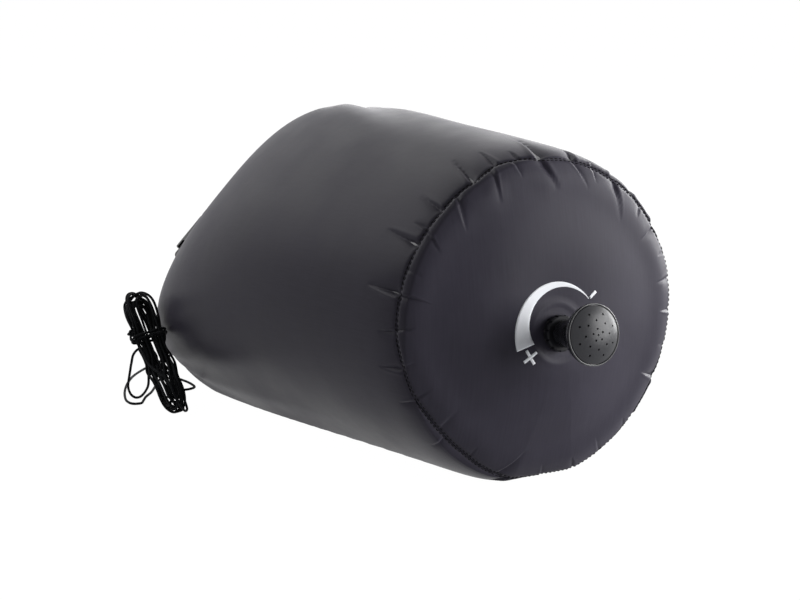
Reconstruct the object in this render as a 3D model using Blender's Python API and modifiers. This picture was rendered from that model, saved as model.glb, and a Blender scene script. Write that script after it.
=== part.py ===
"""Camp shower bag, about ten litres, lying on its side with its shower rose in the base.

A roll-top sack of coated nylon: a tube sewn to a domed base, pinched flat and rolled down at the far
end, with the ends of the roll drawn round into a loop and held by a side-release buckle. The base
carries a screw-down valve: turning the rose lifts its stopper off the spout. A cord for hanging
the bag is hitched to the roll and made up into a hank.

Metres, +Z up. The bag's axis runs along Y with the base facing -Y. The origin is on the floor under
the middle of the bag's flat underside.
"""
import math

import bmesh
import bpy
import numpy as np
from mathutils import Matrix, Vector

# Clearances and overruns
GAP = 0.0003                    # between pieces that touch
OVERRUN = 0.002                 # how far a cutter runs past what it cuts
EMBED = 0.0004                  # how deep a joined shape sits in its carrier

# Bag fabric
FABRIC = 0.001                  # wall of the coated nylon panels
SEAM_RADIUS = 0.1012            # base seam
BODY_SWELL = 0.0040             # how much the tube swells past the seam
SWELL_RUN = 0.0107              # length over which it swells
SHOULDER_SPREAD = 0.0083        # widening of the flattened shoulder, lower side
SHOULDER_SPREAD_UP = 0.0092     # the same, upper side
BAG_LENGTH = 0.3582             # base seam to the pinched edge
PINCH_SHARES = {"low": 0.8458, "up": 1.1512}   # half width of the pinched edge, of the seam radius
PINCH_DEPTH = 0.0018            # half thickness of the pinched edge
PINCH_SEAM = 3                  # how many walls thick the pinched edge is, along the bag
REST_PRESS = 0.0066             # how deep the underside is pressed flat
END_DROP = 0.0091               # the pinched edge hangs below the bag's axis
END_SIDE = 0.0050               # and to its left
FLAT_TILT = math.radians(44.7)  # tilt of the flattened end from level
BASE_DOME = 0.0190              # height of the base panel's dome
REST_SETBACK = 0.150            # base seam to the origin, along the bag
SHOULDER_POWERS = {"low": 8.2, "up": 14.9}
EAR_RISE = 0.0050               # extra crown of the upper ear
EAR_SPAN_SHARES = (0.62, 1.0)   # where along the bag the upper ear rises
PINCH_POWER = 3.43              # how late the tube flattens
PINCH_ROOT = 0.41
END_SQUARENESS = 2.81           # superellipse power at the pinched edge
EAR_SWEEP = {"low": 0.0050, "up": 0.0175}   # how far each ear's tip sweeps back
EAR_SHAPE = 9                   # how tightly the edge turns into the sweep
EAR_POWER = 6.9                 # how late the ears sweep back
DOME_POWER = 2.2
RING_SHARES = (0, 0.012, 0.04, 0.09, 0.17, 0.27, 0.38, 0.5, 0.61, 0.71, 0.79, 0.86, 0.915, 0.955,
               0.983, 1)
AROUND = 44                     # facets round the bag
BASE_RINGS = 6

# Seam tapes, inside
TAPE = 0.0006
TAPE_GAP = 0.0014               # clear of the panel's facets, which twist a little
BASE_TAPE_RINGS = 3              # rings of the body that the base tape spans
SIDE_TAPE_FACET = -5             # facet of the body that the side tape lies under
SIDE_TAPE_RINGS = (3, 11)

# Rolled collar and its loop
STIFFENER_WIDTH = 0.016
STIFFENER_THICK = 0.001
ROLL_PLY = 0.0010               # one turn of the rolled fabric
ROLL_PITCH = 0.00155            # turn to turn
ROLL_TURNS = 2.5
LOOP_LOW = 0.056                # centre line of the roll, to its lower side
LOOP_UP = 0.104                 # and to its upper side
LOOP_FRONT_DEPTH = 0.016
LOOP_BACK_DEPTH = 0.049
LOOP_SQUARENESS = 2.6
LOOP_SKEW = 0.0096              # the back of the loop leans to the upper side
LOOP_TILT = math.radians(3.6)   # the loop droops
LOOP_CLEAR = 0.0004             # pinched edge to the roll
LOOP_EASE = 0.014               # length over which its corners are eased
LOOP_SAMPLES = 720
LOOP_BEND_WEIGHT = 0.030        # steps crowd where the roll bends
ROLL_STEPS = 24
ROLL_SAMPLES = 400
TURN_SPREAD = (0.15, 0.85)      # part of each half turn over which the roll grows
BEND_STEPS = 3

# Side-release buckle for 20 mm webbing
BUCKLE_HALF_LENGTH = 0.026
BUCKLE_WIDTH = 0.028
BUCKLE_THICK = 0.0092
BUCKLE_EDGE = 0.0012            # rounding of its edges
BUCKLE_JOIN = 0.006             # mouth of the female half, from the buckle's centre
CAVITY_WIDTH = 0.0230
CAVITY_HEIGHT = 0.0054
CAVITY_DEPTH = 0.0205
WINDOW_NEAR = 0.0118            # side windows, from the mouth
WINDOW_LENGTH = 0.0086
BAR = 0.003
BAR_SLOT = 0.004
ARM_SPREAD = 0.0085             # centre line of each latch arm from the buckle's middle
ARM_WIDTH = 0.0026
ARM_HEIGHT = 0.0044
PAD_LENGTH = 0.0064
PAD_PLAY = 0.0010               # front of the pad to the window's far end
GUIDE_WIDTH = 0.0040
GUIDE_HEIGHT = 0.0040
RIDGE = 0.0005
RIDGE_COUNT = 4

# Webbing tabs
WEBBING = 0.0011
WEBBING_WIDTH = 0.020
TAB_REACH = 0.013               # bar end of the buckle to the end of the roll
BUCKLE_STANDOFF = 0.010         # the tabs let the buckle stand off behind the loop

# Valve, along its own axis from the outer face of the fabric
VALVE_TILT = math.radians(9)    # the axis points this much above level
VALVE_SIDE = -0.0020            # from the bag's axis
VALVE_DROP = 0.0041
SHANK_RADIUS = 0.0070
BORE_RADIUS = 0.0038
INNER_FLANGE_RADIUS = 0.0190
INNER_FLANGE = 0.0020
GASKET = 0.0010
GASKET_RADIUS = 0.0165
WASHER_RADIUS = 0.0105
NUT_RADIUS = 0.0112
NUT_HEIGHT = 0.0040
NUT_FLUTES = 12
NUT_FLUTE_RADIUS = 0.0009
SPOUT_RADIUS = 0.0058
SPOUT_TIP = 0.0195
THREAD_LEAD = 0.0040            # travel of one full turn
THREAD_HEIGHT = 0.0011
THREAD_WIDTH = 0.0013
THREAD_CREST = 0.0007
THREAD_START = 0.0084
THREAD_TURNS = 1.25
THREAD_STEPS = 16
ORING_MINOR = 0.0006
ORING_PLACE = 0.0162
SEAT_DEPTH = 0.0012

# Rose
ROSE_START = 0.0066
ROSE_RADIUS = 0.0188
ROSE_REACH = 0.0368             # fabric to the rim
NECK_WALL = 0.0013
BELL_WALL = 0.0016
RIM_WIDTH = 0.0010
FACE_THICK = 0.0012
FACE_DOME = 0.0042
FACE_SEAT = 0.0016              # depth of the face's seat below the rim
FACE_LEDGE = 0.0012
HOLE_RADIUS = 0.00065
HOLE_RINGS = ((1, 0, 0), (5, 0.21, 0.3), (8, 0.50, 0.0), (8, 0.75, 0.4))
SPIDER_ARMS = 3
SPIDER_WIDTH = 0.0018
SPIDER_HEIGHT = 0.0020
STOPPER_SHAFT = 0.0021
AROUND_ROSE = 32
FLARE_START_SHARE = 0.30        # where the bell's flare starts, of its length
FLARE_BLEND_SHARE = 0.65        # how much of it is an S curve, the rest a cone
FLARE_STEPS = 6

# Hang cord
CORD = 0.0018
CORD_PITCH = 0.00232            # strand to strand in the hank
HANK_COLUMNS = 3
HANK_LAYERS = 4
HANK_FOLD = 0.0058              # radius of the innermost fold
HANK_WAIST = 0.0012             # half gap between the innermost runs at the waist
HANK_HALF_LENGTH = 0.0455
HANK_PLACE = (-0.1184, 0.2908)  # centre of the hank, from the base seam
HANK_FLOOR_GAP = 0.0004
HANK_HEADING = math.radians(93.6)
HANK_PITCH = math.radians(49.2)
HANK_ROLL = math.radians(21.5)
FOLD_STEPS = 7
RUN_STEPS = 5
TIE_TURNS = 2
TIE_STEPS = 20
TIE_START = 0.0110
TIE_GAP = 0.0006
TAIL = 0.0040                   # free end past the tie
TIE_LEAD_SHARES = (0.3, 0.6)    # where the tail leaves the last run, of the way to the tie
KNOT = 0.0018                   # radius of the knot at each end of the cord
KNOT_STEPS = 8
HITCH_SHARE = 0.731             # where on the roll, as a share of its lower half
HITCH_TURNS = 1.75
HITCH_STEPS = 18                # points a turn
HITCH_PITCH = 0.0030
HITCH_MARGIN = 0.0011           # more clearance, for the facets of the roll and the cord
LEAD_STEPS = 63
SELF_SKIP = 12                  # neighbours along a cord that its gap to itself leaves out
CURVE_STEPS = 10                # samples between two points of a route
LEAD_BEND_WEIGHT = 0.006        # its points crowd where it bends
# Route of the cord between the hitch and the hank, from the base seam: it falls to the floor,
LEAD_FALL = ((-0.0360, 0.4204, 0.0432), (-0.0380, 0.4226, 0.0360), (-0.0386, 0.4230, 0.0270),
             (-0.0388, 0.4226, 0.0170), (-0.0400, 0.4208, 0.0085), (-0.0432, 0.4165, 0.0026))
# runs out on the floor in a long loop and a short one,
LEAD_FLOOR = ((-0.0485, 0.4115), (-0.0580, 0.4045), (-0.0690, 0.3965), (-0.0810, 0.3870), (-0.0975, 0.3710),
              (-0.1140, 0.3480), (-0.1280, 0.3220), (-0.1345, 0.3040), (-0.1338, 0.2966), (-0.1286, 0.2950),
              (-0.1238, 0.3008), (-0.1180, 0.3090), (-0.1078, 0.3203), (-0.0980, 0.3340), (-0.0900, 0.3462),
              (-0.0846, 0.3514), (-0.0780, 0.3516), (-0.0736, 0.3465), (-0.0722, 0.3380), (-0.0726, 0.3260),
              (-0.0752, 0.3166), (-0.0806, 0.3136), (-0.0868, 0.3132), (-0.0945, 0.3082), (-0.1030, 0.3015))
# rises behind the hank's waist and hangs from it in a loop
LEAD_HANG = ((-0.1100, 0.2982, 0.0026), (-0.1137, 0.2967, 0.0070), (-0.1152, 0.2957, 0.0135),
             (-0.1156, 0.2954, 0.0210), (-0.1152, 0.2954, 0.0280), (-0.1152, 0.2958, 0.0328),
             (-0.1166, 0.2982, 0.0362), (-0.1203, 0.3010, 0.0381), (-0.1250, 0.3033, 0.0380),
             (-0.1281, 0.3056, 0.0342), (-0.1288, 0.3083, 0.0270), (-0.1289, 0.3108, 0.0200),
             (-0.1288, 0.3134, 0.0135), (-0.1283, 0.3155, 0.0094), (-0.1275, 0.3161, 0.0058),
             (-0.1265, 0.3149, 0.0028), (-0.1251, 0.3119, 0.0012), (-0.1236, 0.3081, 0.0018),
             (-0.1223, 0.3042, 0.0045), (-0.1218, 0.3000, 0.0085), (-0.1222, 0.2960, 0.0125),
             (-0.1232, 0.2929, 0.0175))
# before it joins it, in the hank's own axes.
LEAD_JOIN = ((-0.0090, 0.0086, -0.0068), (-0.0052, 0.0083, -0.0043))

AXIS_HEIGHT = SEAM_RADIUS + BODY_SWELL - REST_PRESS
FLAT_DIR = np.array([math.cos(FLAT_TILT), 0, math.sin(FLAT_TILT)])
FLAT_NORMAL = np.array([-math.sin(FLAT_TILT), 0, math.cos(FLAT_TILT)])
ALONG = np.array([0.0, 1.0, 0.0])


def clear_scene():
    for item in list(bpy.data.objects):
        bpy.data.objects.remove(item, do_unlink=True)


def make_collection(name):
    collection = bpy.data.collections.new(name)
    bpy.context.scene.collection.children.link(collection)
    return collection


def make_material(name, color, roughness, metallic=0.0):
    material = bpy.data.materials.new(name)
    material.use_nodes = True
    shader = material.node_tree.nodes["Principled BSDF"]
    shader.inputs["Base Color"].default_value = (*color, 1)
    shader.inputs["Roughness"].default_value = roughness
    shader.inputs["Metallic"].default_value = metallic
    material.diffuse_color = (*color, 1)
    return material


clear_scene()
PARTS = make_collection("camp_shower_bag")
CUTTERS = make_collection("cutters")
NYLON = ((0.055, 0.055, 0.062), 0.42)
TAPE_FILM = ((0.10, 0.10, 0.11), 0.35)
WEB = ((0.025, 0.025, 0.028), 0.8)
GLOSSY = ((0.022, 0.022, 0.026), 0.22)
SATIN = ((0.030, 0.030, 0.034), 0.40)
RUBBER = ((0.018, 0.018, 0.018), 0.75)
STRIP = ((0.12, 0.12, 0.13), 0.5)
CORDAGE = ((0.012, 0.012, 0.014), 0.7)


def place(item, name, finish, parent=None, smooth=False):
    """Name an object, put it with the parts and give it its material."""
    item.name = name
    item.data.name = name
    for collection in list(item.users_collection):
        collection.objects.unlink(item)
    PARTS.objects.link(item)
    item.data.materials.clear()
    item.data.materials.append(make_material(name, *finish))
    if parent is not None:
        item.parent = parent
    if smooth:
        item.data.shade_smooth()
        item.data.set_sharp_from_angle(angle=math.radians(40))
    return item


def mesh_object(name, vertices, faces):
    mesh = bpy.data.meshes.new(name)
    mesh.from_pydata([tuple(map(float, v)) for v in vertices], [], faces)
    mesh.update()
    item = bpy.data.objects.new(name, mesh)
    bpy.context.scene.collection.objects.link(item)
    return item


def orient_outward(item):
    shape = bmesh.new()
    shape.from_mesh(item.data)
    bmesh.ops.recalc_face_normals(shape, faces=shape.faces)
    shape.to_mesh(item.data)
    shape.free()


def ring_faces(rows, count):
    """Quads between successive closed rings of vertices."""
    faces = []
    for row in range(rows - 1):
        for i in range(count):
            j = (i + 1) % count
            a, b = row * count, (row + 1) * count
            faces.append((a + i, a + j, b + j, b + i))
    return faces


def loft(name, rings, closed=False):
    """A solid through closed rings of equal count: capped at its ends, or closed on itself."""
    count = len(rings[0])
    vertices = [v for ring in rings for v in ring]
    faces = ring_faces(len(rings), count)
    if closed:
        last = (len(rings) - 1) * count
        faces += [(last + i, last + (i + 1) % count, (i + 1) % count, i) for i in range(count)]
    else:
        faces.append(tuple(range(count - 1, -1, -1)))
        faces.append(tuple(range((len(rings) - 1) * count, len(rings) * count)))
    item = mesh_object(name, vertices, faces)
    orient_outward(item)
    return item


def turned(name, profile, steps=AROUND_ROSE, closed=True):
    """A profile of (radius, height) points, carried round Z by a Screw modifier."""
    mesh = bpy.data.meshes.new(name)
    points = [(r, 0.0, z) for r, z in profile]
    edges = [(i, i + 1) for i in range(len(points) - 1)]
    if closed:
        edges.append((len(points) - 1, 0))
    mesh.from_pydata(points, edges, [])
    item = bpy.data.objects.new(name, mesh)
    bpy.context.scene.collection.objects.link(item)
    screw = item.modifiers.new("turn", "SCREW")
    screw.steps = steps
    screw.render_steps = steps
    screw.use_merge_vertices = True
    screw.merge_threshold = 0.00001
    screw.use_smooth_shade = False
    return item


def applied(item):
    """The same object with its modifiers applied."""
    graph = bpy.context.evaluated_depsgraph_get()
    mesh = bpy.data.meshes.new_from_object(item.evaluated_get(graph))
    item.modifiers.clear()
    item.data = mesh
    return item


def block(name, size, centre, edge=0.0):
    bpy.ops.mesh.primitive_cube_add(size=1)
    item = bpy.context.active_object
    item.name = name
    item.data.transform(Matrix.Diagonal((*size, 1)))
    item.data.transform(Matrix.Translation(Vector(centre)))
    if edge:
        bevel = item.modifiers.new("edge", "BEVEL")
        bevel.width = edge
        bevel.segments = 2
        bevel.limit_method = "ANGLE"
        applied(item)
    return item


def combine(item, other, operation):
    """Cut, join or trim item with other, then drop other."""
    change = item.modifiers.new("change", "BOOLEAN")
    change.object = other
    change.operation = operation
    change.solver = "EXACT"
    bpy.context.view_layer.update()
    applied(item)
    bpy.data.objects.remove(other, do_unlink=True)
    return item


def tube(name, points, diameter, resolution):
    """A round cord through its points, with flat ends."""
    curve = bpy.data.curves.new(name, "CURVE")
    curve.dimensions = "3D"
    curve.bevel_depth = diameter / 2
    curve.bevel_resolution = resolution
    curve.use_fill_caps = True
    spline = curve.splines.new("POLY")
    spline.points.add(len(points) - 1)
    for point, place_of in zip(spline.points, points):
        point.co = (*place_of, 1)
    item = bpy.data.objects.new(name, curve)
    bpy.context.scene.collection.objects.link(item)
    return item


# The bag's own surface

def loop_outline():
    """Centre line of the roll's loop in its own plane: across, back from the loop's middle."""
    angle = np.linspace(-math.pi / 2, 1.5 * math.pi, 4 * LOOP_SAMPLES)
    c, s = np.cos(angle), np.sin(angle)
    power = np.where(s < 0, 2 / LOOP_SQUARENESS, 1.0)
    depth = np.where(s < 0, LOOP_FRONT_DEPTH, LOOP_BACK_DEPTH)
    back = depth * np.sign(s) * np.abs(s) ** power
    across = np.where(c < 0, LOOP_LOW, LOOP_UP) * np.sign(c) * np.abs(c) ** power
    across = across + LOOP_SKEW * np.maximum(0, back) / LOOP_BACK_DEPTH
    rough = np.stack([across, back], 1)
    length = np.concatenate([[0], np.cumsum(np.linalg.norm(np.diff(rough, axis=0), axis=1))])
    wanted = np.linspace(0, length[-1], LOOP_SAMPLES, endpoint=False)
    even = np.stack([np.interp(wanted, length, rough[:, k]) for k in (0, 1)], 1)
    window = int(LOOP_EASE / length[-1] * LOOP_SAMPLES)
    eased = sum(np.roll(even, k, 0) for k in range(-window, window + 1)) / (2 * window + 1)
    return np.concatenate([eased, eased[:1]])


def loop_normals(outline):
    step = np.roll(outline[:-1], -1, 0) - np.roll(outline[:-1], 1, 0)
    step /= np.linalg.norm(step, axis=1)[:, None]
    step = np.concatenate([step, step[:1]])
    return np.stack([step[:, 1], -step[:, 0]], 1)


LOOP = loop_outline()
LOOP_NORMALS = loop_normals(LOOP)
LOOP_LENGTHS = np.concatenate([[0], np.cumsum(np.linalg.norm(np.diff(LOOP, axis=0), axis=1))])
LOOP_BACK = math.cos(LOOP_TILT) * ALONG - math.sin(LOOP_TILT) * FLAT_NORMAL
LOOP_NORMAL = math.cos(LOOP_TILT) * FLAT_NORMAL + math.sin(LOOP_TILT) * ALONG


def section(share, inset=0.0, angles=None):
    """One ring of the bag at a share of its length, inset from the outer face."""
    if angles is None:
        angles = np.linspace(0, 2 * math.pi, AROUND, endpoint=False)
    c, s = np.cos(angles), np.sin(angles)
    upper = c > 0
    radius = SEAM_RADIUS + BODY_SWELL * (1 - math.exp(-share * BAG_LENGTH / SWELL_RUN))
    spread = np.where(upper, SHOULDER_SPREAD_UP, SHOULDER_SPREAD)
    power = np.where(upper, SHOULDER_POWERS["up"], SHOULDER_POWERS["low"])
    pinch = SEAM_RADIUS * np.where(upper, PINCH_SHARES["up"], PINCH_SHARES["low"])
    quarter = math.pi / 2 * min(1, share / 0.85)
    wide = radius + spread * math.sin(quarter) ** 2
    wide = pinch + (wide - pinch) * np.sqrt(1 - share ** power)
    sweep = np.where(upper, EAR_SWEEP["up"], EAR_SWEEP["low"])
    low, high = EAR_SPAN_SHARES
    if low < share < high:
        rise = math.sin(math.pi * (share - low) / (high - low)) ** 2
        wide = wide + EAR_RISE * rise * np.where(upper, c, 0) ** 6
    deep = PINCH_DEPTH + (radius - PINCH_DEPTH) * (1 - share ** PINCH_POWER) ** PINCH_ROOT
    full = wide
    wide = wide - inset * (1 + PINCH_SEAM * share ** EAR_POWER)
    deep = max(deep - inset, PINCH_DEPTH - FABRIC)
    power = 2 / (2 + (END_SQUARENESS - 2) * share)
    across = wide * np.sign(c) * np.abs(c) ** power
    sweep = sweep * np.abs(across / full) ** EAR_SHAPE * share ** EAR_POWER
    height = deep * np.sign(s) * np.abs(s) ** power
    points = np.outer(across, FLAT_DIR) + np.outer(height, FLAT_NORMAL)
    points[:, 0] -= END_SIDE * share ** 2
    points[:, 2] += AXIS_HEIGHT - END_DROP * share ** 2
    points[:, 2] = np.maximum(points[:, 2], inset)
    points[:, 1] = (BAG_LENGTH - PINCH_SEAM * inset) * share + sweep - REST_SETBACK
    return points


def pinch_cap(first, count):
    """Quads that close a flat ring from one long side to the other."""
    faces = []
    for i in range(1, count // 2):
        a, b = first + i, first + count - i
        c, d = first + count - i - 1, first + i + 1
        faces.append((a, b, c, d) if c != d else (a, b, c))
    faces.append((first, first + count - 1, first + 1))
    return faces


def make_body_panel():
    outer = [section(share) for share in RING_SHARES]
    inner = [section(share, FABRIC) for share in reversed(RING_SHARES)]
    vertices = np.concatenate(outer + inner)
    rows = len(RING_SHARES)
    faces = ring_faces(rows, AROUND)
    faces += [tuple(v + rows * AROUND for v in face) for face in ring_faces(rows, AROUND)]
    last = (2 * rows - 1) * AROUND
    faces += [(last + i, last + (i + 1) % AROUND, (i + 1) % AROUND, i) for i in range(AROUND)]
    faces += pinch_cap((rows - 1) * AROUND, AROUND)
    faces += pinch_cap(rows * AROUND, AROUND)
    item = mesh_object("body_panel", vertices, faces)
    orient_outward(item)
    return place(item, "body_panel", NYLON, smooth=True)


VALVE_AXIS = np.array([0, -math.cos(VALVE_TILT), math.sin(VALVE_TILT)])
VALVE_UP = np.array([0, math.sin(VALVE_TILT), math.cos(VALVE_TILT)])
VALVE_PLACE = np.array([VALVE_SIDE, -GAP - FABRIC - BASE_DOME - REST_SETBACK, AXIS_HEIGHT - VALVE_DROP])
VALVE_HOLE = SHANK_RADIUS + GAP


def base_ring(share, inner):
    """A ring of the base panel: share 0 is the edge of the clamped seat, 1 the rim."""
    rim = section(0)
    angles = np.arctan2(rim[:, 2] - AXIS_HEIGHT, rim[:, 0])
    seat_radius = INNER_FLANGE_RADIUS + OVERRUN
    seat = VALVE_PLACE + np.outer(seat_radius * np.cos(angles), (1, 0, 0))
    seat = seat + np.outer(seat_radius * np.sin(angles), VALVE_UP)
    points = seat + (rim - seat) * share
    seat_share = seat_radius / SEAM_RADIUS
    reach = seat_share + (1 - seat_share) * share
    dome = -GAP - FABRIC - BASE_DOME * (1 - reach ** DOME_POWER) - REST_SETBACK
    plane = VALVE_PLACE[1] + (points[:, 2] - VALVE_PLACE[2]) * math.tan(VALVE_TILT)
    weight = (1 - share) ** 3
    points[:, 1] = weight * plane + (1 - weight) * dome
    if inner:
        points = points - FABRIC * (weight * VALVE_AXIS - (1 - weight) * ALONG)
    return points


def hole_ring(inner):
    rim = section(0)
    angles = np.arctan2(rim[:, 2] - AXIS_HEIGHT, rim[:, 0])
    ring = VALVE_PLACE + np.outer(VALVE_HOLE * np.cos(angles), (1, 0, 0))
    ring = ring + np.outer(VALVE_HOLE * np.sin(angles), VALVE_UP)
    return ring - VALVE_AXIS * (FABRIC if inner else 0)


def make_base_panel():
    shares = [k / (BASE_RINGS - 1) for k in range(BASE_RINGS)]
    outer = [hole_ring(False)] + [base_ring(share, False) for share in shares]
    inner = [base_ring(share, True) for share in reversed(shares)] + [hole_ring(True)]
    item = loft("base_panel", outer + inner, closed=True)
    return place(item, "base_panel", NYLON, smooth=True)


def make_base_seam_tape():
    inset = FABRIC + TAPE_GAP
    shares = [GAP / BAG_LENGTH, *RING_SHARES[1:BASE_TAPE_RINGS]]
    rings = [section(share, inset) for share in shares]
    rings += [section(share, inset + TAPE) for share in reversed(shares)]
    return place(loft("base_seam_tape", rings, closed=True), "base_seam_tape", TAPE_FILM)


def make_side_seam_tape():
    angles = 2 * math.pi / AROUND * np.array([SIDE_TAPE_FACET, SIDE_TAPE_FACET + 1])
    inset = FABRIC + GAP
    rings = []
    for share in RING_SHARES[slice(*SIDE_TAPE_RINGS)]:
        outer, inner = section(share, inset, angles), section(share, inset + TAPE, angles)
        rings.append(np.concatenate([outer, inner[::-1]]))
    return place(loft("side_seam_tape", rings), "side_seam_tape", TAPE_FILM)


# The roll and its buckle

def world_frame(centre, bearing=math.pi / 2):
    """Centre and outward normal of the loop in the part's frame."""
    edge = np.array([-END_SIDE, BAG_LENGTH - REST_SETBACK, AXIS_HEIGHT - END_DROP])
    back = LOOP_CLEAR + ROLL_HALF_WIDTH - LOOP[:, 1].min() + centre[1]
    spot = edge + centre[0] * FLAT_DIR + back * LOOP_BACK
    outward = math.cos(bearing) * FLAT_DIR + math.sin(bearing) * LOOP_BACK
    return spot, outward


def frame_at(place):
    """The loop's centre and outward normal at a length along it from the middle of its front."""
    turn = np.unwrap(np.arctan2(LOOP_NORMALS[:, 1], LOOP_NORMALS[:, 0]))
    at = place % LOOP_LENGTHS[-1]
    centre = [np.interp(at, LOOP_LENGTHS, LOOP[:, k]) for k in (0, 1)]
    return world_frame(centre, np.interp(at, LOOP_LENGTHS, turn))


def roll_ends():
    """Ends of the roll along the loop: the lower one is negative."""
    apex = LOOP_LENGTHS[np.argmax(LOOP[:, 1])]
    clear = BUCKLE_HALF_LENGTH + TAB_REACH
    return apex - LOOP_LENGTHS[-1] + clear, apex - clear


def roll_frames():
    """Places along the roll, closer together where it bends."""
    low, high = roll_ends()
    wanted = np.linspace(low, high, ROLL_SAMPLES)
    turn = np.unwrap(np.arctan2(LOOP_NORMALS[:, 1], LOOP_NORMALS[:, 0]))
    bearing = np.interp(wanted % LOOP_LENGTHS[-1], LOOP_LENGTHS, turn)
    bearing = bearing - np.where(wanted < 0, 2 * math.pi, 0)
    measure = wanted + LOOP_BEND_WEIGHT * bearing
    places = np.interp(np.linspace(measure[0], measure[-1], ROLL_STEPS), measure, wanted)
    return [frame_at(place) for place in places]


def spiral_section():
    """The rolled fabric's section: paired outer and inner points along a flattened spiral."""
    core = STIFFENER_WIDTH / 2
    first = STIFFENER_THICK / 2 + GAP + ROLL_PLY / 2
    outer, inner = [], []
    for half in range(int(ROLL_TURNS * 2)):
        side = 1 if half % 2 == 0 else -1
        for k in range(BEND_STEPS + 1):
            bend = -math.pi / 2 + math.pi * k / BEND_STEPS
            turned_by = half + TURN_SPREAD[0] + (TURN_SPREAD[1] - TURN_SPREAD[0]) * k / BEND_STEPS
            growth = turned_by / 2 * ROLL_PITCH
            for store, shift in ((outer, ROLL_PLY / 2), (inner, -ROLL_PLY / 2)):
                radius = first + growth + shift
                store.append((side * (core + radius * math.cos(bend)), side * radius * math.sin(bend)))
    return outer, inner


ROLL_HALF_WIDTH = max(a for a, b in spiral_section()[0])


def make_rolled_collar():
    outer, inner = spiral_section()
    pairs = len(outer)
    profile = outer + inner[::-1]
    rings = []
    for spot, outward in roll_frames():
        rings.append([spot + a * outward + b * LOOP_NORMAL for a, b in profile])
    count = 2 * pairs
    vertices = [v for ring in rings for v in ring]
    faces = ring_faces(len(rings), count)
    for first in (0, (len(rings) - 1) * count):
        faces += [(first + i, first + i + 1, first + count - 2 - i, first + count - 1 - i)
                  for i in range(pairs - 1)]
    item = mesh_object("rolled_collar", vertices, faces)
    orient_outward(item)
    return place(item, "rolled_collar", NYLON, smooth=True)


def make_stiffener():
    half, thick = STIFFENER_WIDTH / 2, STIFFENER_THICK / 2
    rings = [[spot + a * outward + b * LOOP_NORMAL
              for a, b in ((half, -thick), (half, thick), (-half, thick), (-half, -thick))]
             for spot, outward in roll_frames()]
    return place(loft("roll_stiffener", rings), "roll_stiffener", STRIP)


def buckle_parent():
    """An empty behind the loop: X across, Y outward, Z along the loop's normal."""
    spot, outward = world_frame((LOOP_SKEW, LOOP_BACK_DEPTH + BUCKLE_STANDOFF))
    frame = bpy.data.objects.new("buckle_frame", None)
    bpy.context.scene.collection.objects.link(frame)
    axes = Matrix((FLAT_DIR, LOOP_BACK, LOOP_NORMAL)).transposed().to_4x4()
    axes.translation = Vector(spot)
    frame.matrix_world = axes
    bpy.context.view_layer.update()
    return frame


def add_bar_end(item, side):
    """Cut the webbing slot behind the bar at one end of a buckle half."""
    near = BUCKLE_HALF_LENGTH - BAR - BAR_SLOT / 2
    slot = block("slot", (BAR_SLOT, WEBBING_WIDTH + 2 * GAP, BUCKLE_THICK + 2 * OVERRUN),
                 (side * near, 0, 0))
    combine(item, slot, "DIFFERENCE")
    thin = (BUCKLE_THICK - BAR) / 2
    for up in (-1, 1):
        relief = block("relief", (BAR + OVERRUN, WEBBING_WIDTH + 2 * GAP, thin),
                       (side * (BUCKLE_HALF_LENGTH - BAR / 2 + OVERRUN / 2), 0,
                        up * (BAR / 2 + thin / 2)))
        combine(item, relief, "DIFFERENCE")
    return item


def make_buckle_female(frame):
    length = BUCKLE_HALF_LENGTH + BUCKLE_JOIN
    centre = (BUCKLE_JOIN - BUCKLE_HALF_LENGTH) / 2
    item = block("buckle_female", (length, BUCKLE_WIDTH, BUCKLE_THICK), (centre, 0, 0), BUCKLE_EDGE)
    cavity = block("cavity", (CAVITY_DEPTH + OVERRUN, CAVITY_WIDTH, CAVITY_HEIGHT),
                   (BUCKLE_JOIN - (CAVITY_DEPTH - OVERRUN) / 2, 0, 0))
    combine(item, cavity, "DIFFERENCE")
    window = block("window", (WINDOW_LENGTH, BUCKLE_WIDTH + 2 * OVERRUN, CAVITY_HEIGHT),
                   (BUCKLE_JOIN - WINDOW_NEAR - WINDOW_LENGTH / 2, 0, 0))
    combine(item, window, "DIFFERENCE")
    add_bar_end(item, -1)
    return place(item, "buckle_female", GLOSSY, frame)


def make_buckle_male(frame):
    near = BUCKLE_JOIN + GAP
    length = BUCKLE_HALF_LENGTH - near
    item = block("buckle_male", (length, BUCKLE_WIDTH, BUCKLE_THICK), (near + length / 2, 0, 0),
                 BUCKLE_EDGE)
    reach = CAVITY_DEPTH - 3 * GAP
    guide = block("guide", (reach + BUCKLE_EDGE, GUIDE_WIDTH, GUIDE_HEIGHT),
                  (near + BUCKLE_EDGE / 2 - reach / 2, 0, 0))
    combine(item, guide, "UNION")
    add_bar_end(item, 1)
    return place(item, "buckle_male", GLOSSY, frame)


PAD_FAR = WINDOW_NEAR + WINDOW_LENGTH - PAD_PLAY
ARM_ROOT = BUCKLE_JOIN


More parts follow.
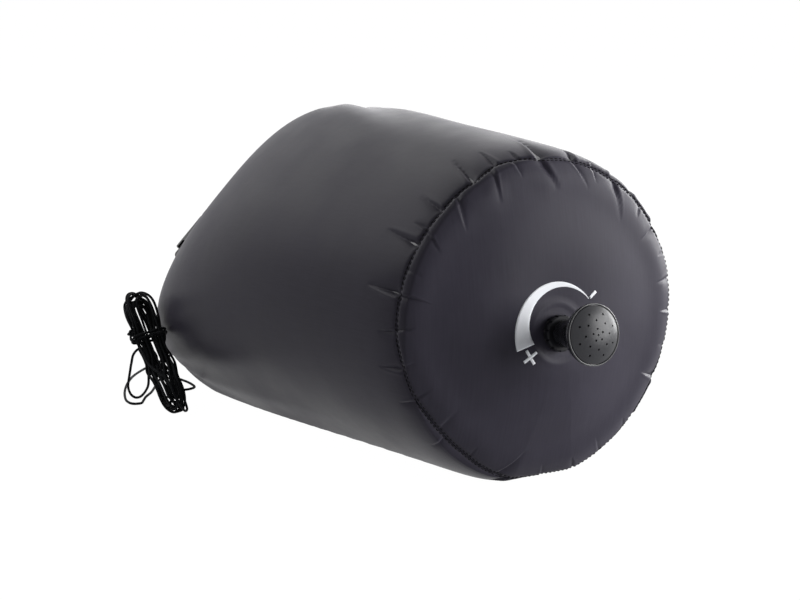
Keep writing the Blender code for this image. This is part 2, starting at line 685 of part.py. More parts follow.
def make_latch_arm(frame, side, name):
    """A sprung arm with its ridged pad in the window, turning about its root on the male half."""
    outer = BUCKLE_WIDTH / 2 - GAP
    inner = ARM_SPREAD - ARM_WIDTH / 2
    reach = PAD_FAR
    outline = [(0, -ARM_WIDTH / 2), (-reach, -ARM_WIDTH / 2), (-reach, outer - ARM_SPREAD - ARM_WIDTH / 2),
               (-reach + ARM_WIDTH / 2, outer - ARM_SPREAD)]
    step = (PAD_LENGTH - ARM_WIDTH / 2) / RIDGE_COUNT
    for k in range(RIDGE_COUNT):
        start = -reach + ARM_WIDTH / 2 + k * step
        outline += [(start + step * 0.5, outer - ARM_SPREAD), (start + step * 0.6, outer - ARM_SPREAD - RIDGE)]
        outline += [(start + step * 0.9, outer - ARM_SPREAD - RIDGE), (start + step, outer - ARM_SPREAD)]
    outline += [(-reach + PAD_LENGTH, ARM_WIDTH / 2), (0, ARM_WIDTH / 2)]
    rings = [[(x, side * y, z) for x, y in outline] for z in (-ARM_HEIGHT / 2, ARM_HEIGHT / 2)]
    item = loft(name, rings)
    item.location = (ARM_ROOT, side * ARM_SPREAD, 0)
    return place(item, name, GLOSSY, frame)


def make_tab(name, side, frame):
    """Webbing from the end of the roll, round the buckle's bar and back."""
    spot, roll_out = frame_at(roll_ends()[0 if side < 0 else 1])
    roll_along = np.cross(LOOP_NORMAL, roll_out) * side
    roll_spot = spot + roll_along * GAP
    over = BAR / 2 + GAP + WEBBING / 2
    turn_end = BUCKLE_HALF_LENGTH - BAR - BAR_SLOT / 2
    leg = (WEBBING + GAP) / 2
    out = FLAT_DIR * side
    up = LOOP_NORMAL
    sections = []

    def add(centre, across, lift):
        sections.append([centre + across * s * WEBBING_WIDTH / 2 + lift * t * WEBBING / 2
                         for s, t in ((-1, -1), (1, -1), (1, 1), (-1, 1))])

    def buckle_point(x, z):
        return np.array(frame.matrix_world @ Vector((side * x, 0, z)))

    corner = (up - out) / math.sqrt(2)
    under = (-up - out) / math.sqrt(2)
    add(roll_spot + leg * up, roll_out, up)
    add(buckle_point(BUCKLE_HALF_LENGTH + BAR, over), (LOOP_BACK + roll_out) / 2, up)
    add(buckle_point(BUCKLE_HALF_LENGTH, over), LOOP_BACK, up)
    add(buckle_point(turn_end + over / 2, over), LOOP_BACK, up)
    add(buckle_point(turn_end, over / 2), LOOP_BACK, corner)
    add(buckle_point(turn_end, -over / 2), LOOP_BACK, under)
    add(buckle_point(turn_end + over / 2, -over), LOOP_BACK, -up)
    add(buckle_point(BUCKLE_HALF_LENGTH, -over), LOOP_BACK, -up)
    add(buckle_point(BUCKLE_HALF_LENGTH + BAR, -over), (LOOP_BACK + roll_out) / 2, -up)
    add(roll_spot - leg * up, roll_out, -up)
    return place(loft(name, sections), name, WEB)


# The valve and the rose

def valve_parent():
    frame = bpy.data.objects.new("valve_frame", None)
    bpy.context.scene.collection.objects.link(frame)
    frame.location = VALVE_PLACE
    frame.rotation_euler = (math.pi / 2 - VALVE_TILT, 0, 0)
    bpy.context.view_layer.update()
    return frame


def helix_ridge(name, root, crest, start, turns):
    """A trapezoid ridge wound round Z, its root sunk into the wall that carries it."""
    inward = -1 if crest < root else 1
    rings = []
    count = int(round(turns * THREAD_STEPS))
    for k in range(count + 1):
        angle = 2 * math.pi * (k / THREAD_STEPS + 0.5 / AROUND_ROSE)
        z = start + THREAD_LEAD * k / THREAD_STEPS
        out = np.array([math.cos(angle), math.sin(angle), 0])
        sunk = root - inward * EMBED
        rings.append([out * sunk + np.array([0, 0, z - THREAD_WIDTH / 2]),
                      out * crest + np.array([0, 0, z - THREAD_CREST / 2]),
                      out * crest + np.array([0, 0, z + THREAD_CREST / 2]),
                      out * sunk + np.array([0, 0, z + THREAD_WIDTH / 2])])
    return loft(name, rings)


GASKET_TOP = -FABRIC - GAP
FLANGE_TOP = GASKET_TOP - GASKET - GAP
NUT_BASE = 2 * GAP + GASKET
NUT_TOP = NUT_BASE + NUT_HEIGHT
SLEEVE_BORE = SPOUT_RADIUS + THREAD_HEIGHT + GAP
LAND_BORE = SPOUT_RADIUS + GAP + GAP / 3


def make_valve_body(frame):
    chamfer = SEAT_DEPTH
    profile = [(BORE_RADIUS + chamfer, SPOUT_TIP), (SPOUT_RADIUS - EMBED, SPOUT_TIP),
               (SPOUT_RADIUS, SPOUT_TIP - EMBED), (SPOUT_RADIUS, NUT_TOP + GAP),
               (SHANK_RADIUS, NUT_TOP), (SHANK_RADIUS, FLANGE_TOP),
               (INNER_FLANGE_RADIUS - EMBED, FLANGE_TOP), (INNER_FLANGE_RADIUS, FLANGE_TOP - EMBED),
               (INNER_FLANGE_RADIUS, FLANGE_TOP - INNER_FLANGE), (BORE_RADIUS, FLANGE_TOP - INNER_FLANGE),
               (BORE_RADIUS, SPOUT_TIP - chamfer)]
    item = applied(turned("valve_body", profile))
    ridge = helix_ridge("ridge", SPOUT_RADIUS, SPOUT_RADIUS + THREAD_HEIGHT, THREAD_START, THREAD_TURNS)
    combine(item, ridge, "UNION")
    return place(item, "valve_body", SATIN, frame, smooth=True)


def make_washers(frame):
    ring = SHANK_RADIUS + GAP
    items = []
    for name, radius, top in (("outer_washer", WASHER_RADIUS, GAP + GASKET),
                              ("inner_gasket", GASKET_RADIUS, GASKET_TOP)):
        profile = [(ring, top), (radius, top), (radius, top - GASKET), (ring, top - GASKET)]
        items.append(place(turned(name, profile), name, RUBBER, frame))
    return items


def make_lock_nut(frame):
    ring = SHANK_RADIUS + GAP
    edge = NUT_HEIGHT / 5
    profile = [(ring, NUT_TOP), (NUT_RADIUS - edge, NUT_TOP), (NUT_RADIUS, NUT_TOP - edge),
               (NUT_RADIUS, NUT_BASE), (ring, NUT_BASE)]
    item = applied(turned("lock_nut", profile, 36))
    for k in range(NUT_FLUTES):
        angle = 2 * math.pi * (k + 0.5) / NUT_FLUTES
        bpy.ops.mesh.primitive_cylinder_add(vertices=8, radius=NUT_FLUTE_RADIUS,
                                            depth=NUT_HEIGHT + 2 * OVERRUN)
        flute = bpy.context.active_object
        flute.data.transform(Matrix.Translation((NUT_RADIUS * math.cos(angle), NUT_RADIUS * math.sin(angle),
                                                 (NUT_TOP + NUT_BASE) / 2)))
        combine(item, flute, "DIFFERENCE")
    return place(item, "lock_nut", SATIN, frame)


def make_rose_oring(frame):
    centre = SPOUT_RADIUS + GAP + ORING_MINOR
    bpy.ops.mesh.primitive_torus_add(major_segments=24, minor_segments=8, major_radius=centre,
                                     minor_radius=ORING_MINOR)
    item = bpy.context.active_object
    item.data.transform(Matrix.Translation((0, 0, ORING_PLACE)))
    return place(item, "rose_oring", RUBBER, frame, smooth=True)


def bell_outline():
    """Outer side of the bell from its rim down to the neck, a smooth flare."""
    neck = SLEEVE_BORE + NECK_WALL
    points = []
    flare_start = ROSE_START + (ROSE_REACH - ROSE_START) * FLARE_START_SHARE
    flare_end = ROSE_REACH - FACE_SEAT
    for k in range(FLARE_STEPS + 1):
        t = 1 - k / FLARE_STEPS
        blend = t * t * (3 - 2 * t)
        ease = (1 - FLARE_BLEND_SHARE) * t + FLARE_BLEND_SHARE * blend
        points.append((neck + (ROSE_RADIUS - neck) * ease, flare_start + (flare_end - flare_start) * t))
    return [(ROSE_RADIUS - RIM_WIDTH / 3, ROSE_REACH), (ROSE_RADIUS, ROSE_REACH - RIM_WIDTH / 3)] + points


def make_rose_bell(frame):
    outer = bell_outline()
    groove_low = ORING_PLACE - ORING_MINOR - GAP
    groove_high = ORING_PLACE + ORING_MINOR + GAP
    groove = SPOUT_RADIUS + 2 * GAP + 2 * ORING_MINOR
    land_low = groove_low - ORING_MINOR
    floor = SPOUT_TIP - 2 * GAP
    seat = ROSE_REACH - FACE_SEAT
    rim_inner = ROSE_RADIUS - RIM_WIDTH
    inner = []
    for radius, z in outer[3:]:
        if floor < z - BELL_WALL < seat - FACE_LEDGE - BELL_WALL and radius - BELL_WALL > groove:
            inner.append((radius - BELL_WALL, z - BELL_WALL / 2))
    profile = [(rim_inner, ROSE_REACH)] + outer
    profile += [(SLEEVE_BORE + NECK_WALL, ROSE_START + NECK_WALL), (SLEEVE_BORE + NECK_WALL / 2, ROSE_START)]
    profile += [(SLEEVE_BORE, ROSE_START), (SLEEVE_BORE, land_low - GAP), (LAND_BORE, land_low)]
    profile += [(LAND_BORE, groove_low), (groove, groove_low), (groove, groove_high), (LAND_BORE, groove_high)]
    profile += [(LAND_BORE, floor)]
    profile += [point for point in reversed(inner)]
    profile += [(rim_inner - FACE_LEDGE, seat - FACE_LEDGE), (rim_inner - FACE_LEDGE, seat)]
    profile += [(rim_inner, seat)]
    item = applied(turned("rose_bell", profile))
    ridge = helix_ridge("ridge", SLEEVE_BORE, LAND_BORE, THREAD_START + THREAD_LEAD / 2, THREAD_TURNS / 2)
    combine(item, ridge, "UNION")
    arm_z = SPOUT_TIP + 2 * SPIDER_HEIGHT
    reach = interior_radius(inner, arm_z) + BELL_WALL / 2
    for k in range(SPIDER_ARMS):
        arm = block("arm", (reach, SPIDER_WIDTH, SPIDER_HEIGHT), (reach / 2, 0, arm_z))
        arm.data.transform(Matrix.Rotation(2 * math.pi * k / SPIDER_ARMS, 4, "Z"))
        combine(item, arm, "UNION")
    combine(item, make_stopper(arm_z), "UNION")
    return place(item, "rose_bell", GLOSSY, frame, smooth=True)


def interior_radius(inner, height):
    points = sorted((z, radius) for radius, z in inner)
    return float(np.interp(height, [p[0] for p in points], [p[1] for p in points]))


def make_stopper(arm_z):
    """The stopper whose cone seats in the spout's chamfer, on its shaft from the spider."""
    slack = GAP * math.sqrt(2)
    nose = BORE_RADIUS - slack - EMBED
    nose_z = SPOUT_TIP - SEAT_DEPTH - EMBED
    wide = BORE_RADIUS - slack + SEAT_DEPTH
    top_z = SPOUT_TIP + GAP
    profile = [(0, arm_z + SPIDER_HEIGHT / 2), (STOPPER_SHAFT, arm_z + SPIDER_HEIGHT / 2),
               (STOPPER_SHAFT, top_z + SEAT_DEPTH), (wide + GAP, top_z + GAP), (wide + GAP, top_z),
               (nose, nose_z), (0, nose_z)]
    return applied(turned("stopper", profile, 24, closed=False))


def face_height(radius):
    """Height of the face's outer side: a low dome that drops faster towards its edge."""
    share = radius / (ROSE_RADIUS - RIM_WIDTH - GAP)
    return ROSE_REACH - FACE_SEAT + GAP + FACE_THICK + FACE_DOME * (1 - share ** 2.4)


def make_rose_face(frame):
    edge = ROSE_RADIUS - RIM_WIDTH - GAP
    radii = [edge * k / 5 for k in range(6)]
    top = [(r, face_height(r)) for r in radii]
    low = [(r, face_height(r) - FACE_THICK) for r in reversed(radii)]
    item = applied(turned("rose_face", top + low, closed=False))
    cutters = []
    for count, share, phase in HOLE_RINGS:
        for k in range(count):
            angle = 2 * math.pi * (k + phase) / count
            radius = share * edge
            bpy.ops.mesh.primitive_cylinder_add(vertices=8, radius=HOLE_RADIUS,
                                                depth=FACE_DOME + 2 * FACE_THICK + 2 * OVERRUN)
            hole = bpy.context.active_object
            hole.data.transform(Matrix.Translation((radius * math.cos(angle), radius * math.sin(angle),
                                                    ROSE_REACH + FACE_DOME / 2)))
            cutters.append(hole)
    for hole in cutters[1:]:
        joined = bmesh.new()
        joined.from_mesh(cutters[0].data)
        joined.from_mesh(hole.data)
        joined.to_mesh(cutters[0].data)
        joined.free()
        bpy.data.objects.remove(hole, do_unlink=True)
    combine(item, cutters[0], "DIFFERENCE")
    return place(item, "rose_face", GLOSSY, frame, smooth=True)


# The hang cord

def hank_frame():
    """Centre, long axis, width and upper normal of the hank where it leans."""
    heading = np.array([math.cos(HANK_HEADING), math.sin(HANK_HEADING), 0])
    side = np.array([math.sin(HANK_HEADING), -math.cos(HANK_HEADING), 0])
    up = np.array([0, 0, 1.0])
    axis = math.cos(HANK_PITCH) * heading + math.sin(HANK_PITCH) * up
    lift = -math.sin(HANK_PITCH) * heading + math.cos(HANK_PITCH) * up
    width = math.cos(HANK_ROLL) * side + math.sin(HANK_ROLL) * lift
    return axis, width, np.cross(width, axis)


def hank_half_run():
    return HANK_HALF_LENGTH - HANK_FOLD - HANK_COLUMNS * CORD_PITCH


def waist_draw(along):
    """How far the runs are drawn in at this place along the hank."""
    return (HANK_FOLD - HANK_WAIST) * math.cos(math.pi * along / 2 / hank_half_run()) ** 2


def run_place(along, offset):
    """A run at an offset outside the innermost one, parallel to it."""
    half_run = hank_half_run()
    slope = (HANK_FOLD - HANK_WAIST) * math.sin(math.pi * along / half_run) * math.pi / 2 / half_run
    lean = math.atan(slope)
    return along - offset * math.sin(lean), HANK_FOLD - waist_draw(along) + offset * math.cos(lean)


def hank_station(turn, column):
    """Place on a loop of the hank: along its length and across, at a column from the core."""
    half_run = hank_half_run()
    offset = column * CORD_PITCH
    run_share = RUN_STEPS / (FOLD_STEPS + RUN_STEPS) / 2
    side = 1 if (turn + run_share / 2) % 1 < 0.5 else -1
    phase = (turn + run_share / 2) % 0.5
    if phase < run_share:
        along, across = run_place(half_run * (2 * phase / run_share - 1), offset)
    else:
        bend = math.pi * (phase - run_share) / (0.5 - run_share)
        along = half_run + (HANK_FOLD + offset) * math.sin(bend)
        across = (HANK_FOLD + offset) * math.cos(bend)
    return side * along, side * across


def hank_points():
    """The hank's cord: loops that spiral in and out, layer on layer, then the tie round them."""
    per_turn = 2 * (FOLD_STEPS + RUN_STEPS)
    climb = RUN_STEPS / per_turn / 2
    points = []
    for k in range(HANK_COLUMNS * HANK_LAYERS * per_turn + 1):
        turn = k / per_turn
        column = abs(HANK_COLUMNS - turn % (2 * HANK_COLUMNS))
        layer = 0
        for reversal in range(1, HANK_LAYERS):
            past = (turn - reversal * HANK_COLUMNS) / climb
            layer += min(1, max(0, (past + 1) / 2))
        along, across = hank_station(turn, column)
        points.append((along, across, (layer - (HANK_LAYERS - 1) / 2) * CORD_PITCH))
    return points + tie_points(points[-1])


def tie_points(end):
    """The tail leaves the last run sideways and winds round the waist as a rounded rectangle."""
    reach = CORD + TIE_GAP
    height = (HANK_LAYERS - 1) / 2 * CORD_PITCH

    def half_width(along):
        return HANK_FOLD - waist_draw(along) + HANK_COLUMNS * CORD_PITCH

    points = []
    for share in TIE_LEAD_SHARES:
        along = TIE_START * share
        points.append((along, half_width(along) + reach * share ** 2, end[2]))
    corners = ((1, 1), (-1, 1), (-1, -1), (1, -1))
    for k in range(TIE_TURNS * TIE_STEPS + 1):
        quarter, step = divmod(k % TIE_STEPS, TIE_STEPS // 4)
        along = TIE_START + CORD_PITCH * k / TIE_STEPS
        bend = math.pi / 2 * (quarter + min(1, step / (TIE_STEPS // 4 - 1)))
        wide, high = corners[quarter]
        points.append((along, wide * half_width(along) + reach * math.cos(bend),
                       high * height + reach * math.sin(bend)))
    points.append((along, half_width(along) + reach, height + TAIL))
    return points


def to_world(points, frame, centre):
    axis, width, normal = frame
    return [centre + a * axis - b * width + c * normal for a, b, c in points]


def smooth_line(points):
    """A centripetal Catmull-Rom curve through the points."""
    line = np.array(points)
    line = np.concatenate([2 * line[:1] - line[1:2], line, 2 * line[-1:] - line[-2:-1]])
    knots = np.concatenate([[0], np.cumsum(np.linalg.norm(np.diff(line, axis=0), axis=1) ** 0.5)])
    dense = []
    for k in range(1, len(line) - 2):
        t0, t1, t2, t3 = knots[k - 1:k + 3]
        for t in np.linspace(t1, t2, CURVE_STEPS, endpoint=False):
            a = line[k - 1] + (line[k] - line[k - 1]) * (t - t0) / (t1 - t0)
            b = line[k] + (line[k + 1] - line[k]) * (t - t1) / (t2 - t1)
            c = line[k + 1] + (line[k + 2] - line[k + 1]) * (t - t2) / (t3 - t2)
            d = a + (b - a) * (t - t0) / (t2 - t0)
            e = b + (c - b) * (t - t1) / (t3 - t1)
            dense.append(d + (e - d) * (t - t1) / (t2 - t1))
    return np.array(dense + [line[-2]])


def bend_places(line, count, weight):
    """That many points of a line, closer together where it bends, its end points kept."""
    step = np.diff(line, axis=0)
    run = np.linalg.norm(step, axis=1)
    way = step / run[:, None]
    turn = np.arccos(np.clip(np.sum(way[1:] * way[:-1], axis=1), -1, 1))
    measure = np.concatenate([[0], np.cumsum(run + weight * np.concatenate([[0], turn]))])
    wanted = np.linspace(0, measure[-1], count)
    return np.stack([np.interp(wanted, measure, line[:, k]) for k in range(3)], 1)


def hitch_points():
    """Turns round the roll's section, from over its outer half, round its inner side and underneath."""
    place = roll_ends()[0] * HITCH_SHARE
    flat = STIFFENER_WIDTH / 2
    bend = ROLL_HALF_WIDTH - flat + GAP + CORD / 2 + HITCH_MARGIN
    quarter = math.pi / 2 * bend
    around = 4 * flat + 4 * quarter
    start, stop = flat / 2, HITCH_TURNS * around - flat / 2
    points = []
    for run in np.linspace(start, stop, int(HITCH_TURNS * HITCH_STEPS)):
        at = run % around
        if at < 2 * flat:
            out, up = flat - at, bend
        elif at < 2 * flat + 2 * quarter:
            turn = (at - 2 * flat) / bend
            out, up = -flat - bend * math.sin(turn), bend * math.cos(turn)
        elif at < 4 * flat + 2 * quarter:
            out, up = at - 3 * flat - 2 * quarter, -bend
        else:
            turn = (at - 4 * flat - 2 * quarter) / bend
            out, up = flat + bend * math.sin(turn), -bend * math.cos(turn)
        lift = max(0, 1 - (run - start) / (2 * flat)) * (KNOT - CORD / 2)
        spot, outward = frame_at(place - HITCH_PITCH * run / around)
        points.append(spot + out * outward + (up + lift) * LOOP_NORMAL)
    return points


def past_end(points, distance, last=True):
    """A place straight past one end of a cord."""
    ends = (points[-1], points[-2]) if last else (points[0], points[1])
    way = np.array(ends[0]) - np.array(ends[1])
    return np.array(ends[0]) + way / np.linalg.norm(way) * distance


def make_knot(name, centre):
    bpy.ops.mesh.primitive_uv_sphere_add(segments=KNOT_STEPS, ring_count=KNOT_STEPS // 2 + 1, radius=KNOT)
    item = bpy.context.active_object
    item.data.transform(Matrix.Translation(Vector(centre)))
    return place(item, name, CORDAGE)


def make_hitch_and_lead(hank):
    hitch = hitch_points()
    make_knot("cord_knot_roll", past_end(hitch, GAP + KNOT, last=False))
    place(tube("cord_hitch", hitch, CORD, 2), "cord_hitch", CORDAGE)
    frame, centre = hank_place()
    setback = np.array([0, REST_SETBACK, 0])
    floor = [(x, y, CORD / 2) for x, y in LEAD_FLOOR]
    route = [past_end(hitch, GAP), past_end(hitch, GAP + CORD)]
    route += [np.array(point) - setback for point in (*LEAD_FALL, *floor, *LEAD_HANG)]
    route += to_world(LEAD_JOIN, frame, centre)
    route += [past_end(hank, GAP + CORD, last=False), past_end(hank, GAP, last=False)]
    line = smooth_line(route)[CURVE_STEPS:-CURVE_STEPS]
    points = np.array([route[0], *bend_places(line, LEAD_STEPS, LEAD_BEND_WEIGHT), route[-1]])
    points[:, 2] = np.maximum(points[:, 2], CORD / 2)
    length = float(np.sum(np.linalg.norm(np.diff(points, axis=0), axis=1)))
    print("lead: %.2f m of cord, least gap to itself %.2f mm"
          % (length, least_self_gap(points, CORD, SELF_SKIP) * 1000))
    place(tube("cord_lead", points, CORD, 2), "cord_lead", CORDAGE)


def least_self_gap(points, diameter, skip):
    """Least clear distance of a cord to itself, measured between points along it."""
    dense = resample(points, diameter / 3)
    line = np.array(dense)
    best = 1.0
    for i in range(0, len(line) - skip, 2):
        rest = line[i + skip:]
        best = min(best, float(np.min(np.linalg.norm(rest - line[i], axis=1))))
    return best - diameter


def resample(points, step):
    line = np.array(points)
    length = np.concatenate([[0], np.cumsum(np.linalg.norm(np.diff(line, axis=0), axis=1))])
    count = max(2, int(length[-1] / step))
    wanted = np.linspace(0, length[-1], count)
    return [np.array([np.interp(w, length, line[:, k]) for k in range(3)]) for w in wanted]


def hank_place():
    """The hank's axes and its centre, raised until its lowest fold is just clear of the floor."""
    frame = hank_frame()
    centre = np.array([HANK_PLACE[0], HANK_PLACE[1] - REST_SETBACK, 0])
    lowest = min(point[2] for point in to_world(hank_points(), frame, centre))
    centre[2] = CORD / 2 + HANK_FLOOR_GAP - lowest
    return frame, centre


def make_hank():
    points = to_world(hank_points(), *hank_place())
    gap = least_self_gap(points, CORD, SELF_SKIP)
    length = float(np.sum(np.linalg.norm(np.diff(np.array(points), axis=0), axis=1)))
    print("hank: %d points, %.2f m of cord, least gap to itself %.2f mm" % (len(points), length, gap * 1000))
    make_knot("cord_knot_tail", past_end(points, GAP + KNOT))
    place(tube("cord_hank", points, CORD, 1), "cord_hank", CORDAGE)
    return points


def main():
    make_body_panel()
    make_base_panel()
    make_base_seam_tape()
    make_side_seam_tape()
    make_rolled_collar()
    make_stiffener()
    buckle = buckle_parent()
    make_buckle_female(buckle)
    make_buckle_male(buckle)
    make_latch_arm(buckle, 1, "latch_arm_back")
    make_latch_arm(buckle, -1, "latch_arm_front")
    make_tab("buckle_tab_female", -1, buckle)
    make_tab("buckle_tab_male", 1, buckle)
    valve = valve_parent()
    make_valve_body(valve)
    make_washers(valve)
    make_lock_nut(valve)
    make_rose_oring(valve)
    make_rose_bell(valve)
    make_rose_face(valve)
    make_hitch_and_lead(make_hank())


main()
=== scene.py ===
# Camp shower bag lying on its side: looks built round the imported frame.
import math

import bmesh
import bpy
import numpy as np
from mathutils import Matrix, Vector
from mathutils.bvhtree import BVHTree


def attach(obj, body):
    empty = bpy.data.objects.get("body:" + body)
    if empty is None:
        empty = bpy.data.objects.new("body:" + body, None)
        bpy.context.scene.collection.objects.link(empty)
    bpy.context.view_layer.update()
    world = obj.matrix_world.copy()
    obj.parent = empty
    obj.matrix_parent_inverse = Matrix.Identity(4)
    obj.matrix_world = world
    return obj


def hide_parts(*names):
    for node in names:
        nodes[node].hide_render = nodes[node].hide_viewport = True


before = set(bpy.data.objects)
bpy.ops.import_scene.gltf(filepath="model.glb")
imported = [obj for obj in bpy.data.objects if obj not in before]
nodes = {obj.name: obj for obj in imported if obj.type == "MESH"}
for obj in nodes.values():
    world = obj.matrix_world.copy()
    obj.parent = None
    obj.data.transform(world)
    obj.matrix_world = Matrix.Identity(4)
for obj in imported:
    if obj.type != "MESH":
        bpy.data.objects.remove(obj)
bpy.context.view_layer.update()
print("frame:", len(nodes), "nodes")

pi = math.pi
full = 2 * pi


# Lines and angles

def unit(v):
    return v / np.linalg.norm(v, axis=-1, keepdims=True)


def steps(first, last, count):
    return np.linspace(first, last, count)


def turnAngles(count):
    # Even angles once round.
    return steps(0, full, count + 1)[:-1]


def lengthsOf(path):
    # Length from the first point, or row of points, to each one.
    gaps = np.linalg.norm(np.diff(path, axis=0), axis=-1)
    return np.concatenate([np.zeros_like(gaps[:1]), np.cumsum(gaps, 0)])


def pickAt(wanted, run, points):
    # The points between the given ones, at the wanted places of their run.
    return np.stack([np.interp(wanted, run, points[:, k]) for k in range(points.shape[1])], -1)


def spaced(path, spacing):
    # The path again at even spacing.
    run = lengthsOf(path)
    return pickAt(steps(0, run[-1], int(run[-1] / spacing) + 1), run, path)


def roundWay(angle, side, up):
    # cos a * side + sin a * up
    return np.cos(angle)[..., None] * side + np.sin(angle)[..., None] * up


def hump(x, middle, width):
    # exp(-((x - middle) / width)^2)
    return np.exp(-((x - middle) / width) ** 2)


def clipShare(x):
    return np.clip(x, 0, 1)


# Shader nodes

def addNode(tree, kind, inputs=None, **fields):
    # A node with its fields set, and each input linked or given its value.
    node = tree.nodes.new(kind)
    for field, value in fields.items():
        setattr(node, field, value)
    for socket, value in (inputs or {}).items():
        if isinstance(value, bpy.types.NodeSocket):
            tree.links.new(value, node.inputs[socket])
        else:
            node.inputs[socket].default_value = value
    return node


def math2(tree, operation, a, b=0.0):
    return addNode(tree, "ShaderNodeMath", {0: a, 1: b}, operation=operation).outputs[0]


def sineOf(tree, value, factor):
    return math2(tree, "SINE", math2(tree, "MULTIPLY", value, factor))


def ramp(tree, factor, low, high, fromValue=0.0, toValue=1.0):
    return addNode(tree, "ShaderNodeMapRange", {"Value": factor, "From Min": fromValue, "From Max": toValue,
                                                "To Min": low, "To Max": high}).outputs[0]


def noiseOf(tree, vector, scale, detail=3.0, roughness=0.5):
    return addNode(tree, "ShaderNodeTexNoise", {"Vector": vector, "Scale": scale, "Detail": detail,
                                                "Roughness": roughness}).outputs["Fac"]


def mixShaders(tree, factor, a, b):
    return addNode(tree, "ShaderNodeMixShader", {0: factor, 1: a, 2: b}).outputs[0]


def studioRays(tree):
    # 1 for the rays that show the white studio: straight from the camera, mirrored, or through glass.
    rays = addNode(tree, "ShaderNodeLightPath").outputs
    direct = math2(tree, "MAXIMUM", rays["Is Camera Ray"], rays["Is Glossy Ray"])
    return math2(tree, "MAXIMUM", direct, rays["Is Transmission Ray"])


# Camera and light

cameraView = {"place": (-0.7962, -1.2308, 0.3856), "look": (0.52927, 0.82440, -0.20059),
              "lens": 100.53, "sensor": 36.0}
lightSet = {
    "aim": (0.0, 0.03, 0.10), "distance": 1.6, "size": 1.0, "world": 0.02, "floorTone": (0.80, 0.80, 0.82),
    "floorGlow": 0.965, "floorWhite": 1.035, "floorBounce": 0.03, "floorHalf": 6.0, "floorRough": 0.9,
    "floorDrop": 0.0002,
    "lamps": {
        # degrees round from +X, degrees up, watts
        "rightLow": (0, 10, 36.0), "frontRight": (315, 10, 27.5), "backLeft": (135, 40, 8.0),
        "backRightLow": (45, 10, 7.4), "backTop": (90, 40, 3.0)}}
white = (1, 1, 1, 1)


def linked(name, data):
    piece = bpy.data.objects.new(name, data)
    bpy.context.scene.collection.objects.link(piece)
    return piece


def aimed(name, data, place, way):
    # A camera or a lamp at its place, looking along a way.
    piece = linked(name, data)
    piece.location = place
    piece.rotation_euler = Vector(way).to_track_quat("-Z", "Y").to_euler()
    return piece


def makeCamera():
    data = bpy.data.cameras.new("photoView")
    data.lens = cameraView["lens"]
    data.sensor_width = cameraView["sensor"]
    bpy.context.scene.camera = aimed("photoView", data, cameraView["place"], cameraView["look"])


def makeLights():
    world = bpy.data.worlds.new("studio")
    bpy.context.scene.world = world
    world.use_nodes = True
    tree = world.node_tree
    tree.nodes.clear()
    dim, bright = (addNode(tree, "ShaderNodeBackground", {"Color": white, "Strength": strength}).outputs[0]
                   for strength in (lightSet["world"], 1.0))
    addNode(tree, "ShaderNodeOutputWorld", {"Surface": mixShaders(tree, studioRays(tree), dim, bright)})
    for name, (bearing, up, watts) in lightSet["lamps"].items():
        data = bpy.data.lights.new(name, "AREA")
        data.shape = "SQUARE"
        data.size = lightSet["size"]
        data.energy = watts
        turn, rise = math.radians(bearing), math.radians(up)
        way = Vector((math.cos(rise) * math.cos(turn), math.cos(rise) * math.sin(turn), math.sin(rise)))
        aimed(name, data, Vector(lightSet["aim"]) + way * lightSet["distance"], -way)
    bpy.context.scene.view_settings.view_transform = "Standard"


makeCamera()
makeLights()
print("camera and lights")


# Meshes from grids

def gridFaces(rows, columns, around=True):
    # Quads of a grid of points, closed round its columns or not.
    r, c = np.meshgrid(np.arange(rows - 1), np.arange(columns if around else columns - 1), indexing="ij")
    d = (c + 1) % columns
    quads = np.stack([r * columns + c, r * columns + d, (r + 1) * columns + d, (r + 1) * columns + c], -1)
    return quads.reshape(-1, 4)


def solidFaces(rows, columns):
    # The quads round a grid, and a face at each of its ends.
    ends = [list(range(columns))[::-1], list(range((rows - 1) * columns, rows * columns))]
    return gridFaces(rows, columns).tolist() + ends


def joined(parts):
    # Several sets of points and faces as one.
    points, faces, first = [], [], 0
    for grid, quads in parts:
        points.append(np.asarray(grid, float).reshape(-1, 3))
        faces += [[first + i for i in quad] for quad in quads]
        first += len(points[-1])
    return np.concatenate(points), faces


def uvGrid(across, along):
    return np.stack(np.broadcast_arrays(across, along), -1)


def newMesh(name, points, faces, uvs=None, smooth=True):
    mesh = bpy.data.meshes.new(name)
    mesh.from_pydata(np.asarray(points, float).reshape(-1, 3).tolist(), [], [tuple(f) for f in faces])
    if uvs is not None:
        layer = mesh.uv_layers.new(name="UVMap")
        corners = np.empty(len(mesh.loops), np.int32)
        mesh.loops.foreach_get("vertex_index", corners)
        layer.data.foreach_set("uv", np.asarray(uvs, float).reshape(-1, 2)[corners].ravel())
    mesh.polygons.foreach_set("use_smooth", [smooth] * len(mesh.polygons))
    mesh.update()
    return linked(name, mesh)


def outward(piece, weld=0.0):
    # Points nearer than weld made one, and the faces turned outward.
    shape = bmesh.new()
    shape.from_mesh(piece.data)
    if weld:
        bmesh.ops.remove_doubles(shape, verts=shape.verts, dist=weld)
    bmesh.ops.recalc_face_normals(shape, faces=shape.faces)
    shape.to_mesh(piece.data)
    shape.free()
    return piece


def meshTree(piece):
    return BVHTree.FromPolygons([v.co.copy() for v in piece.data.vertices],
                                [tuple(f.vertices) for f in piece.data.polygons])


def finishPiece(piece, material, body, slot, *replaced):
    piece.data.materials.clear()
    piece.data.materials.append(material)
    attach(piece, body)
    if replaced:
        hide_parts(*replaced)
    return piece


